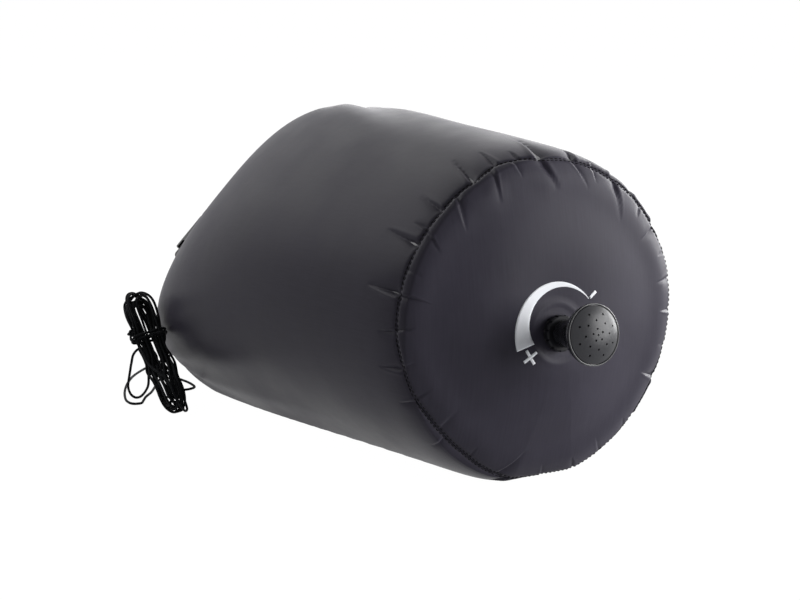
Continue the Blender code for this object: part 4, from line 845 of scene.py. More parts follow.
def bodyPoint(share, angle):
    # Tube that flattens: across*flatDir + height*flatNormal, a circle at share 0 and a pinched edge at 1.
    b = bagShape
    share, angle = np.broadcast_arrays(np.asarray(share, float), np.asarray(angle, float))
    c, s = np.cos(angle), np.sin(angle)
    upper = c > 0
    radius = b["seamRadius"] + b["swell"] * (1 - np.exp(-share * b["length"] / b["swellRun"]))
    spread = np.where(upper, b["spreadUp"], b["spreadLow"])
    late = np.where(upper, b["shoulderUp"], b["shoulderLow"])
    pinch = b["seamRadius"] * np.where(upper, b["pinchUp"], b["pinchLow"])
    wide = radius + spread * np.sin(pi / 2 * np.minimum(1, share / b["spreadAt"])) ** 2
    wide = pinch + (wide - pinch) * np.sqrt(1 - share ** late)
    ear = clipShare((share - b["earFrom"]) / (1 - b["earFrom"]))
    wide = wide + b["earRise"] * np.sin(pi * ear) ** 2 * np.where(upper, c, 0) ** b["earNarrow"]
    deep = b["pinchDepth"] + (radius - b["pinchDepth"]) * (1 - share ** b["pinchPower"]) ** b["pinchRoot"]
    power = 2 / (2 + (b["endSquare"] - 2) * share)
    across = wide * np.sign(c) * np.abs(c) ** power
    height = deep * np.sign(s) * np.abs(s) ** power
    sweep = np.where(upper, b["sweepUp"], b["sweepLow"])
    sweep = sweep * np.abs(across / wide) ** b["earShape"] * share ** b["earPower"]
    point = across[..., None] * flatDir + height[..., None] * flatNormal
    point[..., 0] -= b["endSide"] * share ** 2
    point[..., 2] += axisHeight - b["endDrop"] * share ** 2
    point[..., 2] = np.maximum(point[..., 2], 0)
    point[..., 1] = b["length"] * share + sweep - b["setback"]
    return point


seatRadius = valveShape["flange"] + valveShape["seatMargin"]


def basePoint(share, angle):
    # Domed base from its clamped seat, share 0, to the rim, share 1: the valve's plane blended into a dome.
    rim = bodyPoint(np.zeros_like(angle), angle)
    turn = np.arctan2(rim[..., 2] - axisHeight, rim[..., 0])
    seat = valvePlace + seatRadius * roundWay(turn, acrossWay, valveUp)
    share = np.broadcast_to(share, turn.shape)
    point = seat + (rim - seat) * share[..., None]
    seatShare = seatRadius / bagShape["seamRadius"]
    reach = seatShare + (1 - seatShare) * share
    gap = fabricGauge["gap"] + fabricGauge["cloth"]
    dome = -gap - bagShape["dome"] * (1 - reach ** bagShape["domePower"]) - bagShape["setback"]
    plane = valvePlace[1] + (point[..., 2] - valvePlace[2]) * math.tan(valveShape["tilt"])
    weight = (1 - share) ** 3
    point[..., 1] = weight * plane + (1 - weight) * dome
    return point


# Seam line and creases, by angle round the bag: 0 is up to the right, 90 up to the left.
seamShift = {"angles": (2, 16, 34, 47, 54, 64, 73, 81, 89, 97, 105, 115, 124, 134, 145, 155, 164, 175,
                        188, 204, 220, 240, 260, 284, 304, 330, 346),
             "mm": (-3.0, -3.6, -1.8, -1.5, 2.4, 5.6, 2.4, 4.2, 4.0, 5.2, 5.4, 6.0, 5.4, 5.0, 1.2, -1.2,
                    -4.6, -6.6, -7.0, -4.0, -0.6, -0.5, -1.5, -3.0, -1.5, -0.5, -3.0),
             "steps": 2880, "window": 23}
creases = {
    # angle at the seam, angle at the tip, length mm, depth mm, half width mm
    "body": [(63, 60, 26, 2.6, 3.4), (74, 69, 34, 4.2, 4.6), (89, 86.5, 26, 3.6, 3.6),
             (96.5, 96, 14, 2.0, 2.6), (103, 100, 34, 4.4, 4.8), (120.5, 119.5, 31, 4.2, 4.6),
             (133, 134, 16, 2.6, 3.0), (146, 146.5, 22, 3.2, 3.6), (158, 159, 15, 2.2, 3.0),
             (47, 39, 50, 5.0, 5.6), (33, 27, 26, 3.8, 4.6), (14, 11, 18, 4.0, 4.8),
             (176, 178, 14, 2.0, 3.2), (210, 207, 12, 3.0, 4.0), (226, 225, 20, 2.4, 4.0),
             (241, 243, 26, 2.8, 4.2), (256, 255, 16, 2.2, 3.6), (271, 274, 30, 3.6, 4.6),
             (287, 288, 24, 3.6, 4.2), (301, 299, 18, 2.6, 3.4), (313, 314, 27, 3.4, 4.2),
             (325, 327, 19, 2.8, 3.6), (338, 337, 24, 3.0, 4.0), (347, 349, 32, 3.8, 4.8),
             (2, 1, 22, 3.0, 4.2), (24, 22, 14, 2.0, 3.2), (55, 53, 15, 1.6, 3.0)],
    "base": [(66, 69.5, 22, 2.8, 3.8), (81.5, 89, 20, 3.0, 3.6), (97.5, 102, 15, 2.6, 3.2),
             (112, 113, 12, 1.5, 2.6), (121, 121, 20, 3.6, 3.2), (132.5, 131, 13, 3.0, 2.8),
             (145, 143, 9, 1.6, 2.6), (157, 155, 12, 1.4, 3.0), (172, 167.5, 20, 1.8, 3.6),
             (190, 189, 9, 1.2, 2.8), (205, 213, 22, 3.0, 4.0), (58, 57, 13, 1.8, 3.2),
             (47, 40.5, 21, 4.4, 4.4), (33.5, 25.5, 15, 3.2, 4.0), (13, 3, 21, 4.4, 4.6),
             (24, 22, 9, 1.4, 3.0), (226, 224, 10, 1.6, 3.0), (240, 238.5, 12, 2.4, 3.4),
             (252.5, 251.5, 15, 2.6, 3.6), (266, 267, 10, 1.8, 3.0), (288, 287, 17, 4.6, 4.6),
             (300, 300, 10, 2.0, 3.0), (313, 314, 14, 3.0, 3.4), (325, 326.5, 16, 2.8, 3.4),
             (335, 336, 9, 1.6, 2.8), (346, 348, 16, 3.6, 4.0), (357, 356, 10, 2.0, 3.2)]}
creaseForm = {"share": {"body": 0.92, "base": 0.66}, "held": 0.62, "heldOver": 0.0028, "reach": 1.4,
              "narrow": 0.30, "fade": 0.8, "steep": 3.4, "gentle": 1.15, "ridge": 0.22, "ridgeAt": 0.75,
              "ridgeWidth": 0.45}
seamDetail = {"groove": 0.0010, "grooveHalf": 0.0016, "rowSpace": 0.00095, "puffBase": 0.0015,
              "puffBaseAt": 0.011, "puffBaseHalf": 0.010, "turnIn": 0.004, "endFade": 0.02}
# Folds that fan out of the upper and the lower ear, and slack waves over the body.
foldShape = {"apex": 1.06, "from": 0.22, "over": 0.3, "until": 0.985, "endOver": 0.12, "upper": 0.0020,
             "upperWays": (7.5, 0.8), "upperFan": (0.55, 1.1), "lower": 0.0010, "lowerWays": 6.0,
             "lowerFan": 0.5, "slack": 0.0008, "slackWays": (3, 5, 0.6)}
# Rows near the seam as first place, last place and count, in metres from it; then the rows of the rest.
skinGrid = {"columns": 720, "crowd": 2.4, "crowdOver": 0.045, "angleSteps": 7200,
            "seamRows": (0.0006, 0.012, 18), "seat": 9, "uvRow": 40,
            "body": {"way": 1, "end": -1, "near": (0.0130, 0.050, 33), "far": 66, "power": 1.25},
            "base": {"way": -1, "end": 0, "near": (0.0130, 0.030, 15), "far": 23, "power": 1.0}}
profileSteps = {"base": 80, "near": 72, "nearShare": 0.12, "far": 229, "farPower": 1.35}


def seamPlace(angle):
    # Where the seam runs, in metres from the base's rim towards the body, eased between measured angles.
    known = np.radians(np.array(seamShift["angles"], float))
    known = np.concatenate([known - full, known, known + full])
    fine = steps(-pi, 3 * pi, seamShift["steps"] + 1)
    line = np.interp(fine, known, np.tile(np.array(seamShift["mm"]) / 1000, 3))
    window = np.hanning(seamShift["window"])
    line = np.convolve(line, window / window.sum(), "same")
    return np.interp(np.mod(angle, full), fine, line)


def columnAngles():
    # Angles of the grid's columns, closer together over each crease.
    even = steps(0, full, skinGrid["angleSteps"] + 1)
    dense = np.ones_like(even)
    for row in creases["body"] + creases["base"]:
        off = np.mod(even - math.radians(row[0]) + pi, full) - pi
        dense += skinGrid["crowd"] * hump(off, 0, skinGrid["crowdOver"])
    total = np.concatenate([[0], np.cumsum((dense[1:] + dense[:-1]) / 2)])
    return np.interp(steps(0, total[-1], skinGrid["columns"] + 1)[:-1], total, even)


def profileTable(angle):
    # For each angle, the line from the valve's seat over the rim and along the body: lengths and points.
    p = profileSteps
    far = 1 - (1 - p["nearShare"]) * (1 - steps(0, 1, p["far"] + 1)[1:]) ** p["farPower"]
    line = [basePoint(share, angle) for share in steps(0, 1, p["base"] + 1)[:-1]]
    line += [bodyPoint(share, angle) for share in (*steps(0, p["nearShare"], p["near"] + 1)[1:], *far)]
    length = lengthsOf(np.array(line))
    return length - (length[p["base"] - 1] + length[p["base"]]) / 2, np.array(line)


def alongProfile(length, line, wanted):
    # Points at the wanted lengths of each angle's line, one column for each angle.
    return np.stack([pickAt(wanted[:, c], length[:, c], line[:, c]) for c in range(wanted.shape[1])], 1)


def creaseDepth(kind, distance, angle):
    # Sum over the creases of depth * fade(distance/length) * valley(x/width): one steep side, one gentle,
    # shallower where the stitches hold the cloth.
    f = creaseForm
    total = np.zeros(np.broadcast(distance, angle).shape)
    for number, (at, tip, length, depth, half) in enumerate(creases[kind]):
        share = np.clip(distance * 1000 / length, 0, f["reach"])
        centre = math.radians(at) + math.radians(tip - at) * share
        x = (np.mod(angle - centre + pi, full) - pi) * bagShape["seamRadius"]
        fade = clipShare(1 - share) ** f["fade"]
        width = half / 1000 * (f["narrow"] + (1 - f["narrow"]) * fade)
        q = x / width * (1 if number % 2 else -1)
        valley = f["ridge"] * hump(q, f["ridgeAt"], f["ridgeWidth"])
        valley -= np.exp(-np.where(q > 0, f["steep"] * q, -f["gentle"] * q))
        total += depth / 1000 * f["share"][kind] * fade * valley
    return total * (1 - f["held"] * hump(distance, 0, f["heldOver"]))


def surfaceNormals(points):
    # Cross product of the steps along the columns and down the rows.
    normal = np.cross(np.roll(points, -1, 1) - np.roll(points, 1, 1), np.gradient(points, axis=0))
    return normal / np.maximum(np.linalg.norm(normal, axis=-1, keepdims=True), 1e-12)


def longFolds(share, angle):
    # sin(fan * ways) where fan is the angle from an ear, opened out towards the seam.
    f = foldShape
    off = np.mod(angle + pi, full) - pi
    below = np.abs(off) - pi
    fan = off / (f["apex"] - share)
    reach = clipShare((share - f["from"]) / f["over"]) * clipShare((f["until"] - share) / f["endOver"])
    ways, phase = f["upperWays"]
    folds = f["upper"] * np.sin(fan * ways + phase) * hump(fan, *f["upperFan"])
    folds += f["lower"] * np.sin(below / (f["apex"] - share) * f["lowerWays"]) * hump(below, 0, f["lowerFan"])
    about, along, phase = f["slackWays"]
    slack = f["slack"] * np.sin(about * angle + along * share + phase) * np.sin(pi * clipShare(share)) ** 2
    return folds * reach + slack


def skinPoints(kind, angle, table):
    # Rows from the seam to the profile's end, lifted by creases and folds, and the allowance turned inside.
    length, line = table
    g, d = skinGrid[kind], seamDetail
    way, end, seam = g["way"], length[g["end"]], seamPlace(angle)
    near = np.concatenate([[0.0], steps(*skinGrid["seamRows"]), steps(*g["near"])])[:, None]
    far = 1 - (1 - steps(0, 1, g["far"] + 1)[1:, None]) ** g["power"]
    last = seam + way * near[-1]
    wanted = np.concatenate([seam + way * near, last + far * (end - last)])
    points = alongProfile(length, line, wanted)
    normal = -way * surfaceNormals(points)
    distance = way * (wanted - seam)
    lift = creaseDepth(kind, distance, angle) - d["groove"] * hump(distance, 0, d["grooveHalf"])
    if kind == "body":
        lift += longFolds(clipShare(wanted / end), angle)
    else:
        lift += d["puffBase"] * hump(distance, d["puffBaseAt"], d["puffBaseHalf"])
    lift *= clipShare(way * (end - wanted) / d["endFade"])
    points = points + normal * lift[..., None]
    points[..., 2] = np.maximum(points[..., 2], 0.0)
    return np.concatenate([points[:1] - normal[:1] * d["turnIn"], points]), wanted


def zipFaces(angle, first):
    # Faces that close the flat end ring, from its upper ear to its lower one.
    left, right = 0, len(angle)
    faces = []
    while right - left > 2:
        goLeft = angle[left + 1] < full - angle[right - 1]
        new = left + 1 if goLeft else right - 1
        faces.append((first + left, first + right % len(angle), first + new))
        left, right = (new, right) if goLeft else (left, new)
    return [f for f in faces if len(set(f)) == 3]


def makeBodySkin(angle, table):
    points, wanted = skinPoints("body", angle, table)
    faces = gridFaces(len(points), len(angle)).tolist() + zipFaces(angle, (len(points) - 1) * len(angle))
    uvs = uvGrid(lengthsOf(points[skinGrid["uvRow"]]), np.concatenate([wanted[:1], wanted]))
    return outward(newMesh("bagBody", points, faces, uvs)), points


def makeBaseSkin(angle, table):
    # The lifted rows, then rings of the flat seat under the valve, with the ridge its washer raises.
    v = valveShape
    points, _ = skinPoints("base", angle, table)
    turn = np.arctan2(points[-1, :, 2] - valvePlace[2], points[-1, :, 0] - valvePlace[0])
    rings = [points]
    for share in steps(1, 0, skinGrid["seat"] + 1)[1:]:
        radius = v["hole"] + (seatRadius - v["hole"]) * share
        ridge = v["ridge"] * hump(radius, v["ridgeAt"], v["ridgeHalf"])
        rings.append((valvePlace + radius * roundWay(turn, acrossWay, valveUp) + valveAxis * ridge)[None])
    points = np.concatenate(rings + [rings[-1] - valveAxis * fabricGauge["cloth"]])
    piece = newMesh("bagBase", points, gridFaces(len(points), len(angle)).tolist(), points[..., [0, 2]])
    return outward(piece), points


angles = columnAngles()
table = profileTable(angles)
bagBody, bodyPoints = makeBodySkin(angles, table)
bagBase, basePoints = makeBaseSkin(angles, table)
finishPiece(bagBody, looks["fabric"], "bag", "nylon", "body_panel")
finishPiece(bagBase, looks["fabric"], "bag", "nylon", "base_panel")
print("bag skin:", len(bagBody.data.polygons), "and", len(bagBase.data.polygons), "faces")


# The rolled collar, and the webbing tabs from its ends to the buckle

rollMesh = {"places": 250, "bendSteps": 12, "flatSteps": 7, "wave": 0.00022,
            # size, waves along, waves over the section, phase
            "lift": ((0.6, 410, 240, 0), (0.4, 733, -170, 1.3)),
            "push": ((0.7, 520, 300, 0), (0.3, 1130, 0, 0.4))}
tabSection = {"across": np.array([-1, -0.97, -0.5, 0, 0.5, 0.97, 1]),
              "thick": np.array([-0.45, -1, -1, -1, -1, -1, -0.45])}


def spiralLines():
    # Paired outer and inner points along the flattened spiral, with even steps over its flat stretches.
    r = rollShape
    pairs = []
    for half in range(int(r["turns"] * 2)):
        side = 1 if half % 2 == 0 else -1
        for share in steps(0, 1, rollMesh["bendSteps"] + 1):
            bend = pi * (share - 0.5)
            radii = plyRadius(half, share) + np.array([r["ply"], -r["ply"]]) / 2
            pairs.append(side * np.stack([r["strip"] / 2 + radii * math.cos(bend),
                                          radii * math.sin(bend)], 1))
    lines = []
    for first, second in zip(pairs[:-1], pairs[1:]):
        count = rollMesh["flatSteps"] if np.linalg.norm(second[0] - first[0]) > r["strip"] / 2 else 1
        lines += [first + (second - first) * k / count for k in range(count)]
    lines = np.array(lines + [pairs[-1]])
    return lines[:, 0], lines[:, 1]


def wavesOf(kind, run, over):
    # Sum of size * sin(run * along + over * across + phase).
    return rollMesh["wave"] * sum(size * np.sin(run * along + over * across + phase)
                                  for size, along, across, phase in rollMesh[kind])


def makeRoll():
    # The section carried along the loop. Every ply takes the same small waves, so none meets the next.
    outer, inner = spiralLines()
    across, height = np.concatenate([outer, inner[::-1]]).T
    runs = steps(*rollEnds, rollMesh["places"])
    rings = []
    for run in runs:
        spot, away = loopAt(run)
        rings.append(spot + (across + wavesOf("push", run, height))[:, None] * away
                     + (height + wavesOf("lift", run, across))[:, None] * rollUp)
    count = len(across)
    faces = gridFaces(len(rings), count).tolist()
    for first in (0, (len(rings) - 1) * count):
        faces += [(first + i, first + i + 1, first + count - 2 - i, first + count - 1 - i)
                  for i in range(len(outer) - 1)]
    along = np.concatenate([lengthsOf(outer), lengthsOf(outer)[::-1]])
    return outward(newMesh("rolledCollar", rings, faces, uvGrid(along, runs[:, None])))


def mirrored(way, normal):
    return way - 2 * normal * np.dot(way, normal)


def makeTab(name, side, run):
    # From the roll's end over the buckle's bar and back underneath, with rounded edges.
    b = buckleShape
    spot, away = loopAt(run)
    spot = spot + np.cross(rollUp, away) * side * fabricGauge["gap"]
    place, _ = loopPlace(rollShape["skew"], rollShape["back"] + b["standoff"], pi / 2)
    over = b["bar"] / 2 + fabricGauge["gap"] + b["webbing"] / 2
    turnEnd = b["half"] - b["bar"] - b["slot"] / 2
    leg = (b["webbing"] + fabricGauge["gap"]) / 2
    out = flatDir * side
    mixed = (rollBack + away) / 2
    # Sections of the upper leg, out from the roll; the lower leg is the same, mirrored.
    upper = [(spot + leg * rollUp, away, rollUp)]
    for x, z, across, lift in (
            (b["half"] + b["bar"], over, mixed, rollUp), (b["half"], over, rollBack, rollUp),
            (turnEnd + over / 2, over, rollBack, rollUp), (turnEnd, over / 2, rollBack, unit(rollUp - out))):
        upper.append((place + out * x + rollUp * z, across, lift))
    lower = [(mirrored(centre - place, rollUp) + place, across, mirrored(lift, rollUp))
             for centre, across, lift in upper[:0:-1]]
    sections = np.array(upper + lower + [(spot - leg * rollUp, away, -rollUp)])
    middle = smoothLine(sections[:, 0])
    share = np.arange(len(middle)) / (len(middle) - 1) * (len(sections) - 1)
    wide, thick = (unit(pickAt(share, np.arange(len(sections)), sections[:, j]))[:, None] for j in (1, 2))
    q = np.concatenate([tabSection["across"], tabSection["across"][::-1]]) * b["width"] / 2
    t = np.concatenate([tabSection["thick"], -tabSection["thick"]]) * b["webbing"] / 2
    points = middle[:, None] + q[:, None] * wide + t[:, None] * thick
    uvs = uvGrid(q, lengthsOf(middle)[:, None])
    return outward(newMesh(name, points, solidFaces(len(middle), len(q)), uvs))


collar = makeRoll()
finishPiece(collar, looks["roll"], "bag", "nylon", "rolled_collar")
for name, side, run, node in (("tabFemale", -1, rollEnds[0], "buckle_tab_female"),
                              ("tabMale", 1, rollEnds[1], "buckle_tab_male")):
    finishPiece(makeTab(name, side, run), looks["webbing"], "bag", "webbing", node)
print("roll and tabs:", len(collar.data.polygons), "faces")


# Stitches along both sides of the seam

stitchSet = {"pitch": 0.0032, "length": 0.0025, "radius": 0.00030, "sides": 6, "sink": 0.00002,
             "middle": 0.03, "rows": 6, "bow": np.array([-0.9, 0.35, 0.8, 0.8, 0.35, -0.9]),
             "taper": np.array([0.45, 0.9, 1.0, 1.0, 0.9, 0.45])}


def makeStitches():
    # Capsules that follow the seam, one row on each panel; each bows up a little between its needle holes.
    s = stitchSet
    rings = len(s["bow"])
    middle = np.array([0.0, s["middle"], axisHeight])
    parts = []
    for number, skin in enumerate((bodyPoints, basePoints)):
        near = skin[1:1 + s["rows"]]
        run = lengthsOf(near).mean(1)
        row = np.array([pickAt(seamDetail["rowSpace"], run, near[:, c]) for c in range(near.shape[1])])
        row = np.concatenate([row, row[:1]])
        length = lengthsOf(row)
        count = int(length[-1] / s["pitch"])
        for k in range(count):
            at = (k + 0.5 * number) * length[-1] / count + steps(-0.5, 0.5, rings) * s["length"]
            line = pickAt(np.mod(at, length[-1]), length, row)
            out = unit(line[2] - middle)
            line = line + out * (s["bow"] * s["radius"] + s["sink"])[:, None]
            along = unit(line[-1] - line[0])
            side = unit(np.cross(along, out))
            ring = roundWay(turnAngles(s["sides"]), side, np.cross(side, along))
            parts.append((line[:, None] + s["radius"] * s["taper"][:, None, None] * ring,
                          solidFaces(rings, s["sides"])))
    return outward(newMesh("seamStitches", *joined(parts)))


stitches = makeStitches()
finishPiece(stitches, looks["seamThread"], "bag", "nylon")
print("stitches:", len(stitches.data.polygons), "faces")


# Printed dial on the base

dialSet = {"outer": 0.0313, "thickAt": 194.5, "thinAt": 36.0, "thin": 0.0003, "swell": 0.0123, "power": 1.12,
           "plusAt": 210.0, "plusRadius": 0.0245, "plusLength": 0.0103, "minusAt": 35.9,
           "minusRadius": 0.03505, "minusLength": 0.0058, "barWidth": 0.0019, "lift": 0.00012,
           "print": 0.00008, "above": 0.03, "arcGrid": (90, 7), "plusGrid": (12, 4), "halfGrid": (6, 4),
           "minusGrid": (7, 4)}


def ontoBase(tree, flat, lift):
    # Drops points of the valve's plane, (across, up), on to the base along the valve's axis.
    out = []
    for a, b in flat:
        start = valvePlace + a * acrossWay + b * valveUp + valveAxis * dialSet["above"]
        spot, normal, _, _ = tree.ray_cast(Vector(start), Vector(-valveAxis))
        out.append(np.array(spot) + np.array(normal) * (lift if normal.dot(Vector(valveAxis)) > 0 else -lift))
    return np.array(out)


def printGrid(tree, flat, rows, columns):
    # A thin film of ink: the grid on top, the same grid below, and a wall round its edge.
    film = [ontoBase(tree, flat.reshape(-1, 2), dialSet["lift"] - depth) for depth in (0, dialSet["print"])]
    count = rows * columns
    faces = gridFaces(rows, columns, False)
    faces = faces.tolist() + (faces[:, ::-1] + count).tolist()
    edge = [r * columns for r in range(rows)] + [(rows - 1) * columns + c for c in range(1, columns)]
    edge += [r * columns + columns - 1 for r in range(rows - 2, -1, -1)] + list(range(columns - 2, 0, -1))
    faces += [(a, b, b + count, a + count) for a, b in zip(edge, edge[1:] + edge[:1])]
    return np.concatenate(film), faces


def barFlat(at, radius, turn, length, grid):
    # A bar of the print, its middle at an angle and a radius round the valve.
    u, v = np.meshgrid(steps(-0.5, 0.5, grid[0]) * length, steps(-0.5, 0.5, grid[1]) * dialSet["barWidth"],
                       indexing="ij")
    c, s = math.cos(turn), math.sin(turn)
    return np.stack([radius * math.cos(at) + u * c - v * s, radius * math.sin(at) + u * s + v * c], -1), *grid


def makeDial():
    d = dialSet
    share, depth = np.meshgrid(*(steps(0, 1, count) for count in d["arcGrid"]), indexing="ij")
    turn = np.radians(d["thinAt"] + (d["thickAt"] - d["thinAt"]) * share)
    radius = d["outer"] - depth * (d["thin"] + d["swell"] * share ** d["power"])
    plus, minus = math.radians(d["plusAt"]), math.radians(d["minusAt"])
    half = (d["plusLength"] - d["barWidth"]) / 2
    off = (d["barWidth"] + half) / 2
    shapes = [(np.stack([radius * np.cos(turn), radius * np.sin(turn)], -1), *d["arcGrid"]),
              barFlat(plus, d["plusRadius"], plus, d["plusLength"], d["plusGrid"])]
    # The cross bar's two halves, a right angle round from the bar and to either side of it.
    for side in (-1, 1):
        at, radius = plus + side * math.atan(off / d["plusRadius"]), math.hypot(off, d["plusRadius"])
        shapes.append(barFlat(at, radius, plus + pi / 2, half, d["halfGrid"]))
    shapes.append(barFlat(minus, d["minusRadius"], minus, d["minusLength"], d["minusGrid"]))
    tree = meshTree(bagBase)
    return outward(newMesh("dialPrint", *joined(printGrid(tree, *shape) for shape in shapes)))


dial = makeDial()
finishPiece(dial, looks["ink"], "bag", "nylon")
print("dial")


# Rose: bell and perforated face, finer than the frame's

roseShape = {"start": 0.0066, "radius": 0.0188, "reach": 0.0368, "neckWall": 0.0013, "bellWall": 0.0016,
             "rim": 0.0010, "face": 0.0012, "dome": 0.0042, "seat": 0.0016, "ledge": 0.0012, "hole": 0.00065,
             "bore": 0.0072, "land": 0.0062, "groove": 0.0076, "grooveAt": (0.0153, 0.0171), "landAt": 0.0147,
             "floor": 0.0189, "rings": ((1, 0, 0), (5, 0.21, 0.3), (8, 0.50, 0.0), (8, 0.75, 0.4)),
             "neckShare": 0.30, "straight": 0.35, "flareSteps": 30, "rimSteps": 9, "chamfer": 0.0004,
             "columns": 128, "sharp": math.radians(38), "weld": 1e-7}
faceShape = {"gap": 0.0003, "domePower": 2.4, "middle": (0.0006, 22), "edge": (0.0004, 5), "round": 0.0002,
             "columns": 96, "drill": 0.006, "drillSides": 16, "sharp": math.radians(35)}
threadShape = {"start": 0.0104, "lead": 0.0040, "turns": 0.625, "from": 0.5 / 32, "foot": 0.0013,
               "crest": 0.0007, "sunk": 0.0073, "steps": 40}
spiderShape = {"arms": 3, "width": 0.0018, "height": 0.0020, "at": 0.0235}
# radius, height
stopperProfile = [(0.0, 0.0245), (0.0021, 0.0245), (0.0021, 0.0208), (0.0047, 0.0201), (0.0047, 0.0198),
                  (0.0033, 0.0184), (0.0, 0.0184)]


def fromValve(points):
    # Points of the valve's own axes, (across, up, along its axis), in the scene.
    side = np.cross(valveUp, valveAxis)
    return valvePlace + points[..., :1] * side + points[..., 1:2] * valveUp + points[..., 2:] * valveAxis


def flareLine():
    # neck + (radius - neck) * ease(t), from the rim at t = 1 down to the neck at t = 0.
    r = roseShape
    neck = r["bore"] + r["neckWall"]
    t = steps(1, 0, r["flareSteps"])
    ease = r["straight"] * t + (1 - r["straight"]) * t * t * (3 - 2 * t)
    low = r["start"] + (r["reach"] - r["start"]) * r["neckShare"]
    return np.stack([neck + (r["radius"] - neck) * ease, low + (r["reach"] - r["seat"] - low) * t], 1)


def bellProfile():
    # Outside from the rim down the flare to the neck, then the sleeve, the O-ring's groove and the inside.
    r = roseShape
    wall, ledge, half, cut = r["bellWall"], r["ledge"], r["rim"] / 2, r["chamfer"]
    neck = r["bore"] + r["neckWall"]
    seat = r["reach"] - r["seat"]
    flare = flareLine().tolist()
    turn = steps(pi, 0, r["rimSteps"])
    rim = [(r["radius"] - half + half * math.cos(a), r["reach"] - half + half * math.sin(a)) for a in turn]
    inner = [(x - wall, z - wall / 2) for x, z in flare
             if r["floor"] < z - wall < seat - ledge - wall and x - wall > r["groove"]]
    sleeve = [(neck, r["start"] + 1.5 * cut), (neck - cut, r["start"]), (r["bore"], r["start"]),
              (r["bore"], r["landAt"] - 0.75 * cut), (r["land"], r["landAt"]), (r["land"], r["grooveAt"][0]),
              (r["groove"], r["grooveAt"][0]), (r["groove"], r["grooveAt"][1]), (r["land"], r["grooveAt"][1]),
              (r["land"], r["floor"])]
    lip = r["radius"] - r["rim"]
    seatLine = [(lip - ledge, seat - ledge), (lip - ledge, seat), (lip, seat), rim[0]]
    return np.array(rim + flare + sleeve + inner[::-1] + seatLine)


def ringGrid(profile, count):
    # A profile of (radius, height) turned round the valve's axis.
    angle = turnAngles(count)
    profile = np.asarray(profile, float)
    grid = np.stack(np.broadcast_arrays(profile[:, :1] * np.cos(angle), profile[:, :1] * np.sin(angle),
                                        profile[:, 1:]), -1)
    return grid.reshape(-1, 3), gridFaces(len(profile), count)


def helixGrid():
    # A trapezoid ridge wound round the sleeve, its root sunk in the wall.
    h = threadShape
    share = steps(0, 1, h["steps"] + 1)
    angle = full * (h["turns"] * share + h["from"])
    height = h["start"] + h["lead"] * h["turns"] * share
    corners = ((h["sunk"], -h["foot"] / 2), (roseShape["land"], -h["crest"] / 2),
               (roseShape["land"], h["crest"] / 2), (h["sunk"], h["foot"] / 2))
    grid = np.stack([np.stack([x * np.cos(angle), x * np.sin(angle), height + z], -1) for x, z in corners], 1)
    return grid, solidFaces(len(share), 4)


def armGrid(number):
    # One arm of the spider, from the middle to just inside the bell's wall.
    s = spiderShape
    flare = flareLine()[::-1]
    reach = np.interp(s["at"], flare[:, 1], flare[:, 0]) - roseShape["bellWall"] / 2
    c, n = math.cos(full * number / s["arms"]), math.sin(full * number / s["arms"])
    wide, high = s["width"] / 2, s["height"] / 2
    corners = [(x * c - y * n, x * n + y * c, s["at"] + z) for x in (0, reach)
               for y, z in ((-wide, -high), (wide, -high), (wide, high), (-wide, high))]
    return corners, solidFaces(2, 4)


def makeRose():
    # The bell turned from its profile, with the thread, the spider and the stopper inside it.
    parts = [ringGrid(bellProfile(), roseShape["columns"]), helixGrid(), ringGrid(stopperProfile, 32)]
    points, faces = joined(parts + [armGrid(number) for number in range(spiderShape["arms"])])
    piece = outward(newMesh("roseBell", fromValve(points), faces), roseShape["weld"])
    piece.data.set_sharp_from_angle(angle=roseShape["sharp"])
    return piece


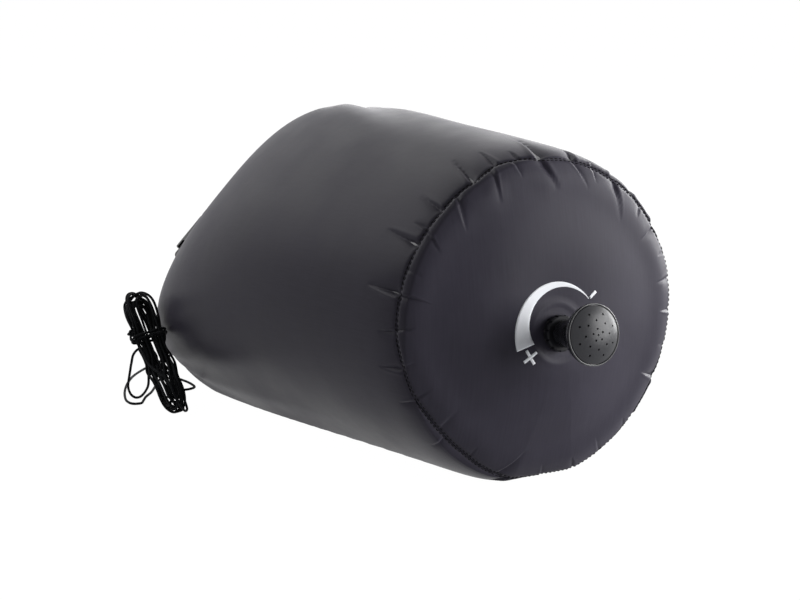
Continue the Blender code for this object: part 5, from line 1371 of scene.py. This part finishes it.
def makeRoseFace():
    # A dome of even thickness, height = dome * (1 - (radius/edge)^power), drilled straight through.
    r, f = roseShape, faceShape
    edge = r["radius"] - r["rim"] - f["gap"]
    radii = np.concatenate([steps(0, edge - f["middle"][0], f["middle"][1]),
                            steps(edge - f["edge"][0], edge, f["edge"][1])])
    foot = r["reach"] - r["seat"] + f["gap"] + r["face"]
    height = foot + r["dome"] * (1 - (radii / edge) ** f["domePower"])
    top, low = np.stack([radii, height], 1), np.stack([radii, height - r["face"]], 1)
    top[-1, 1] -= f["round"]
    points, faces = ringGrid(np.concatenate([top, low[::-1]]), f["columns"])
    piece = outward(newMesh("roseFace", fromValve(points), faces.tolist()), r["weld"])
    drill, _ = ringGrid([(r["hole"], -f["drill"]), (r["hole"], f["drill"])], f["drillSides"])
    drills = []
    for count, share, phase in r["rings"]:
        for angle in full * (np.arange(count) + phase) / count:
            radius = share * edge
            spot = (radius * math.cos(angle), radius * math.sin(angle), r["reach"] + r["dome"] / 2)
            drills.append((fromValve(drill + spot), solidFaces(2, f["drillSides"])))
    cutter = outward(newMesh("holes", *joined(drills)))
    cut = piece.modifiers.new("holes", "BOOLEAN")
    cut.object = cutter
    cut.operation = "DIFFERENCE"
    cut.solver = "EXACT"
    bpy.context.view_layer.update()
    mesh = bpy.data.meshes.new_from_object(piece.evaluated_get(bpy.context.evaluated_depsgraph_get()))
    piece.modifiers.clear()
    piece.data = mesh
    bpy.data.objects.remove(cutter, do_unlink=True)
    mesh.polygons.foreach_set("use_smooth", [True] * len(mesh.polygons))
    mesh.set_sharp_from_angle(angle=f["sharp"])
    return piece


finishPiece(makeRose(), looks["glossyRose"], "rose", "rose_plastic", "rose_bell")
finishPiece(makeRoseFace(), looks["rosePlate"], "rose", "rose_plastic", "rose_face")
print("rose")


# Carried-over nodes

nodeLooks = {
    "sealRubber": ("rose_oring", "outer_washer", "inner_gasket"), "valveNylon": ("valve_body", "lock_nut"),
    "acetalBuckle": ("buckle_female", "buckle_male", "latch_arm_back", "latch_arm_front"),
    "stiffStrip": ("roll_stiffener",), "seamFilm": ("base_seam_tape", "side_seam_tape")}
for look, names in nodeLooks.items():
    for name in names:
        if name in nodes:
            nodes[name].data.materials.clear()
            nodes[name].data.materials.append(looks[look])
print("frame materials")


# Floor

def makeFloor():
    corners = lightSet["floorHalf"] * np.array([(-1, -1, 0), (1, -1, 0), (1, 1, 0), (-1, 1, 0)])
    floor = newMesh("floor", corners, [(0, 1, 2, 3)], smooth=False)
    material, tree, shader = shaderBase("paleFloor", lightSet["floorTone"], lightSet["floorRough"])
    glow = addNode(tree, "ShaderNodeEmission", {"Color": white, "Strength": lightSet["floorWhite"]})
    seen = ramp(tree, studioRays(tree), lightSet["floorBounce"], lightSet["floorGlow"])
    mixed = mixShaders(tree, seen, shader.outputs[0], glow.outputs[0])
    tree.links.new(mixed, tree.nodes["Material Output"].inputs["Surface"])
    floor.data.materials.append(material)
    floor.location.z = -lightSet["floorDrop"]


makeFloor()
print("floor")
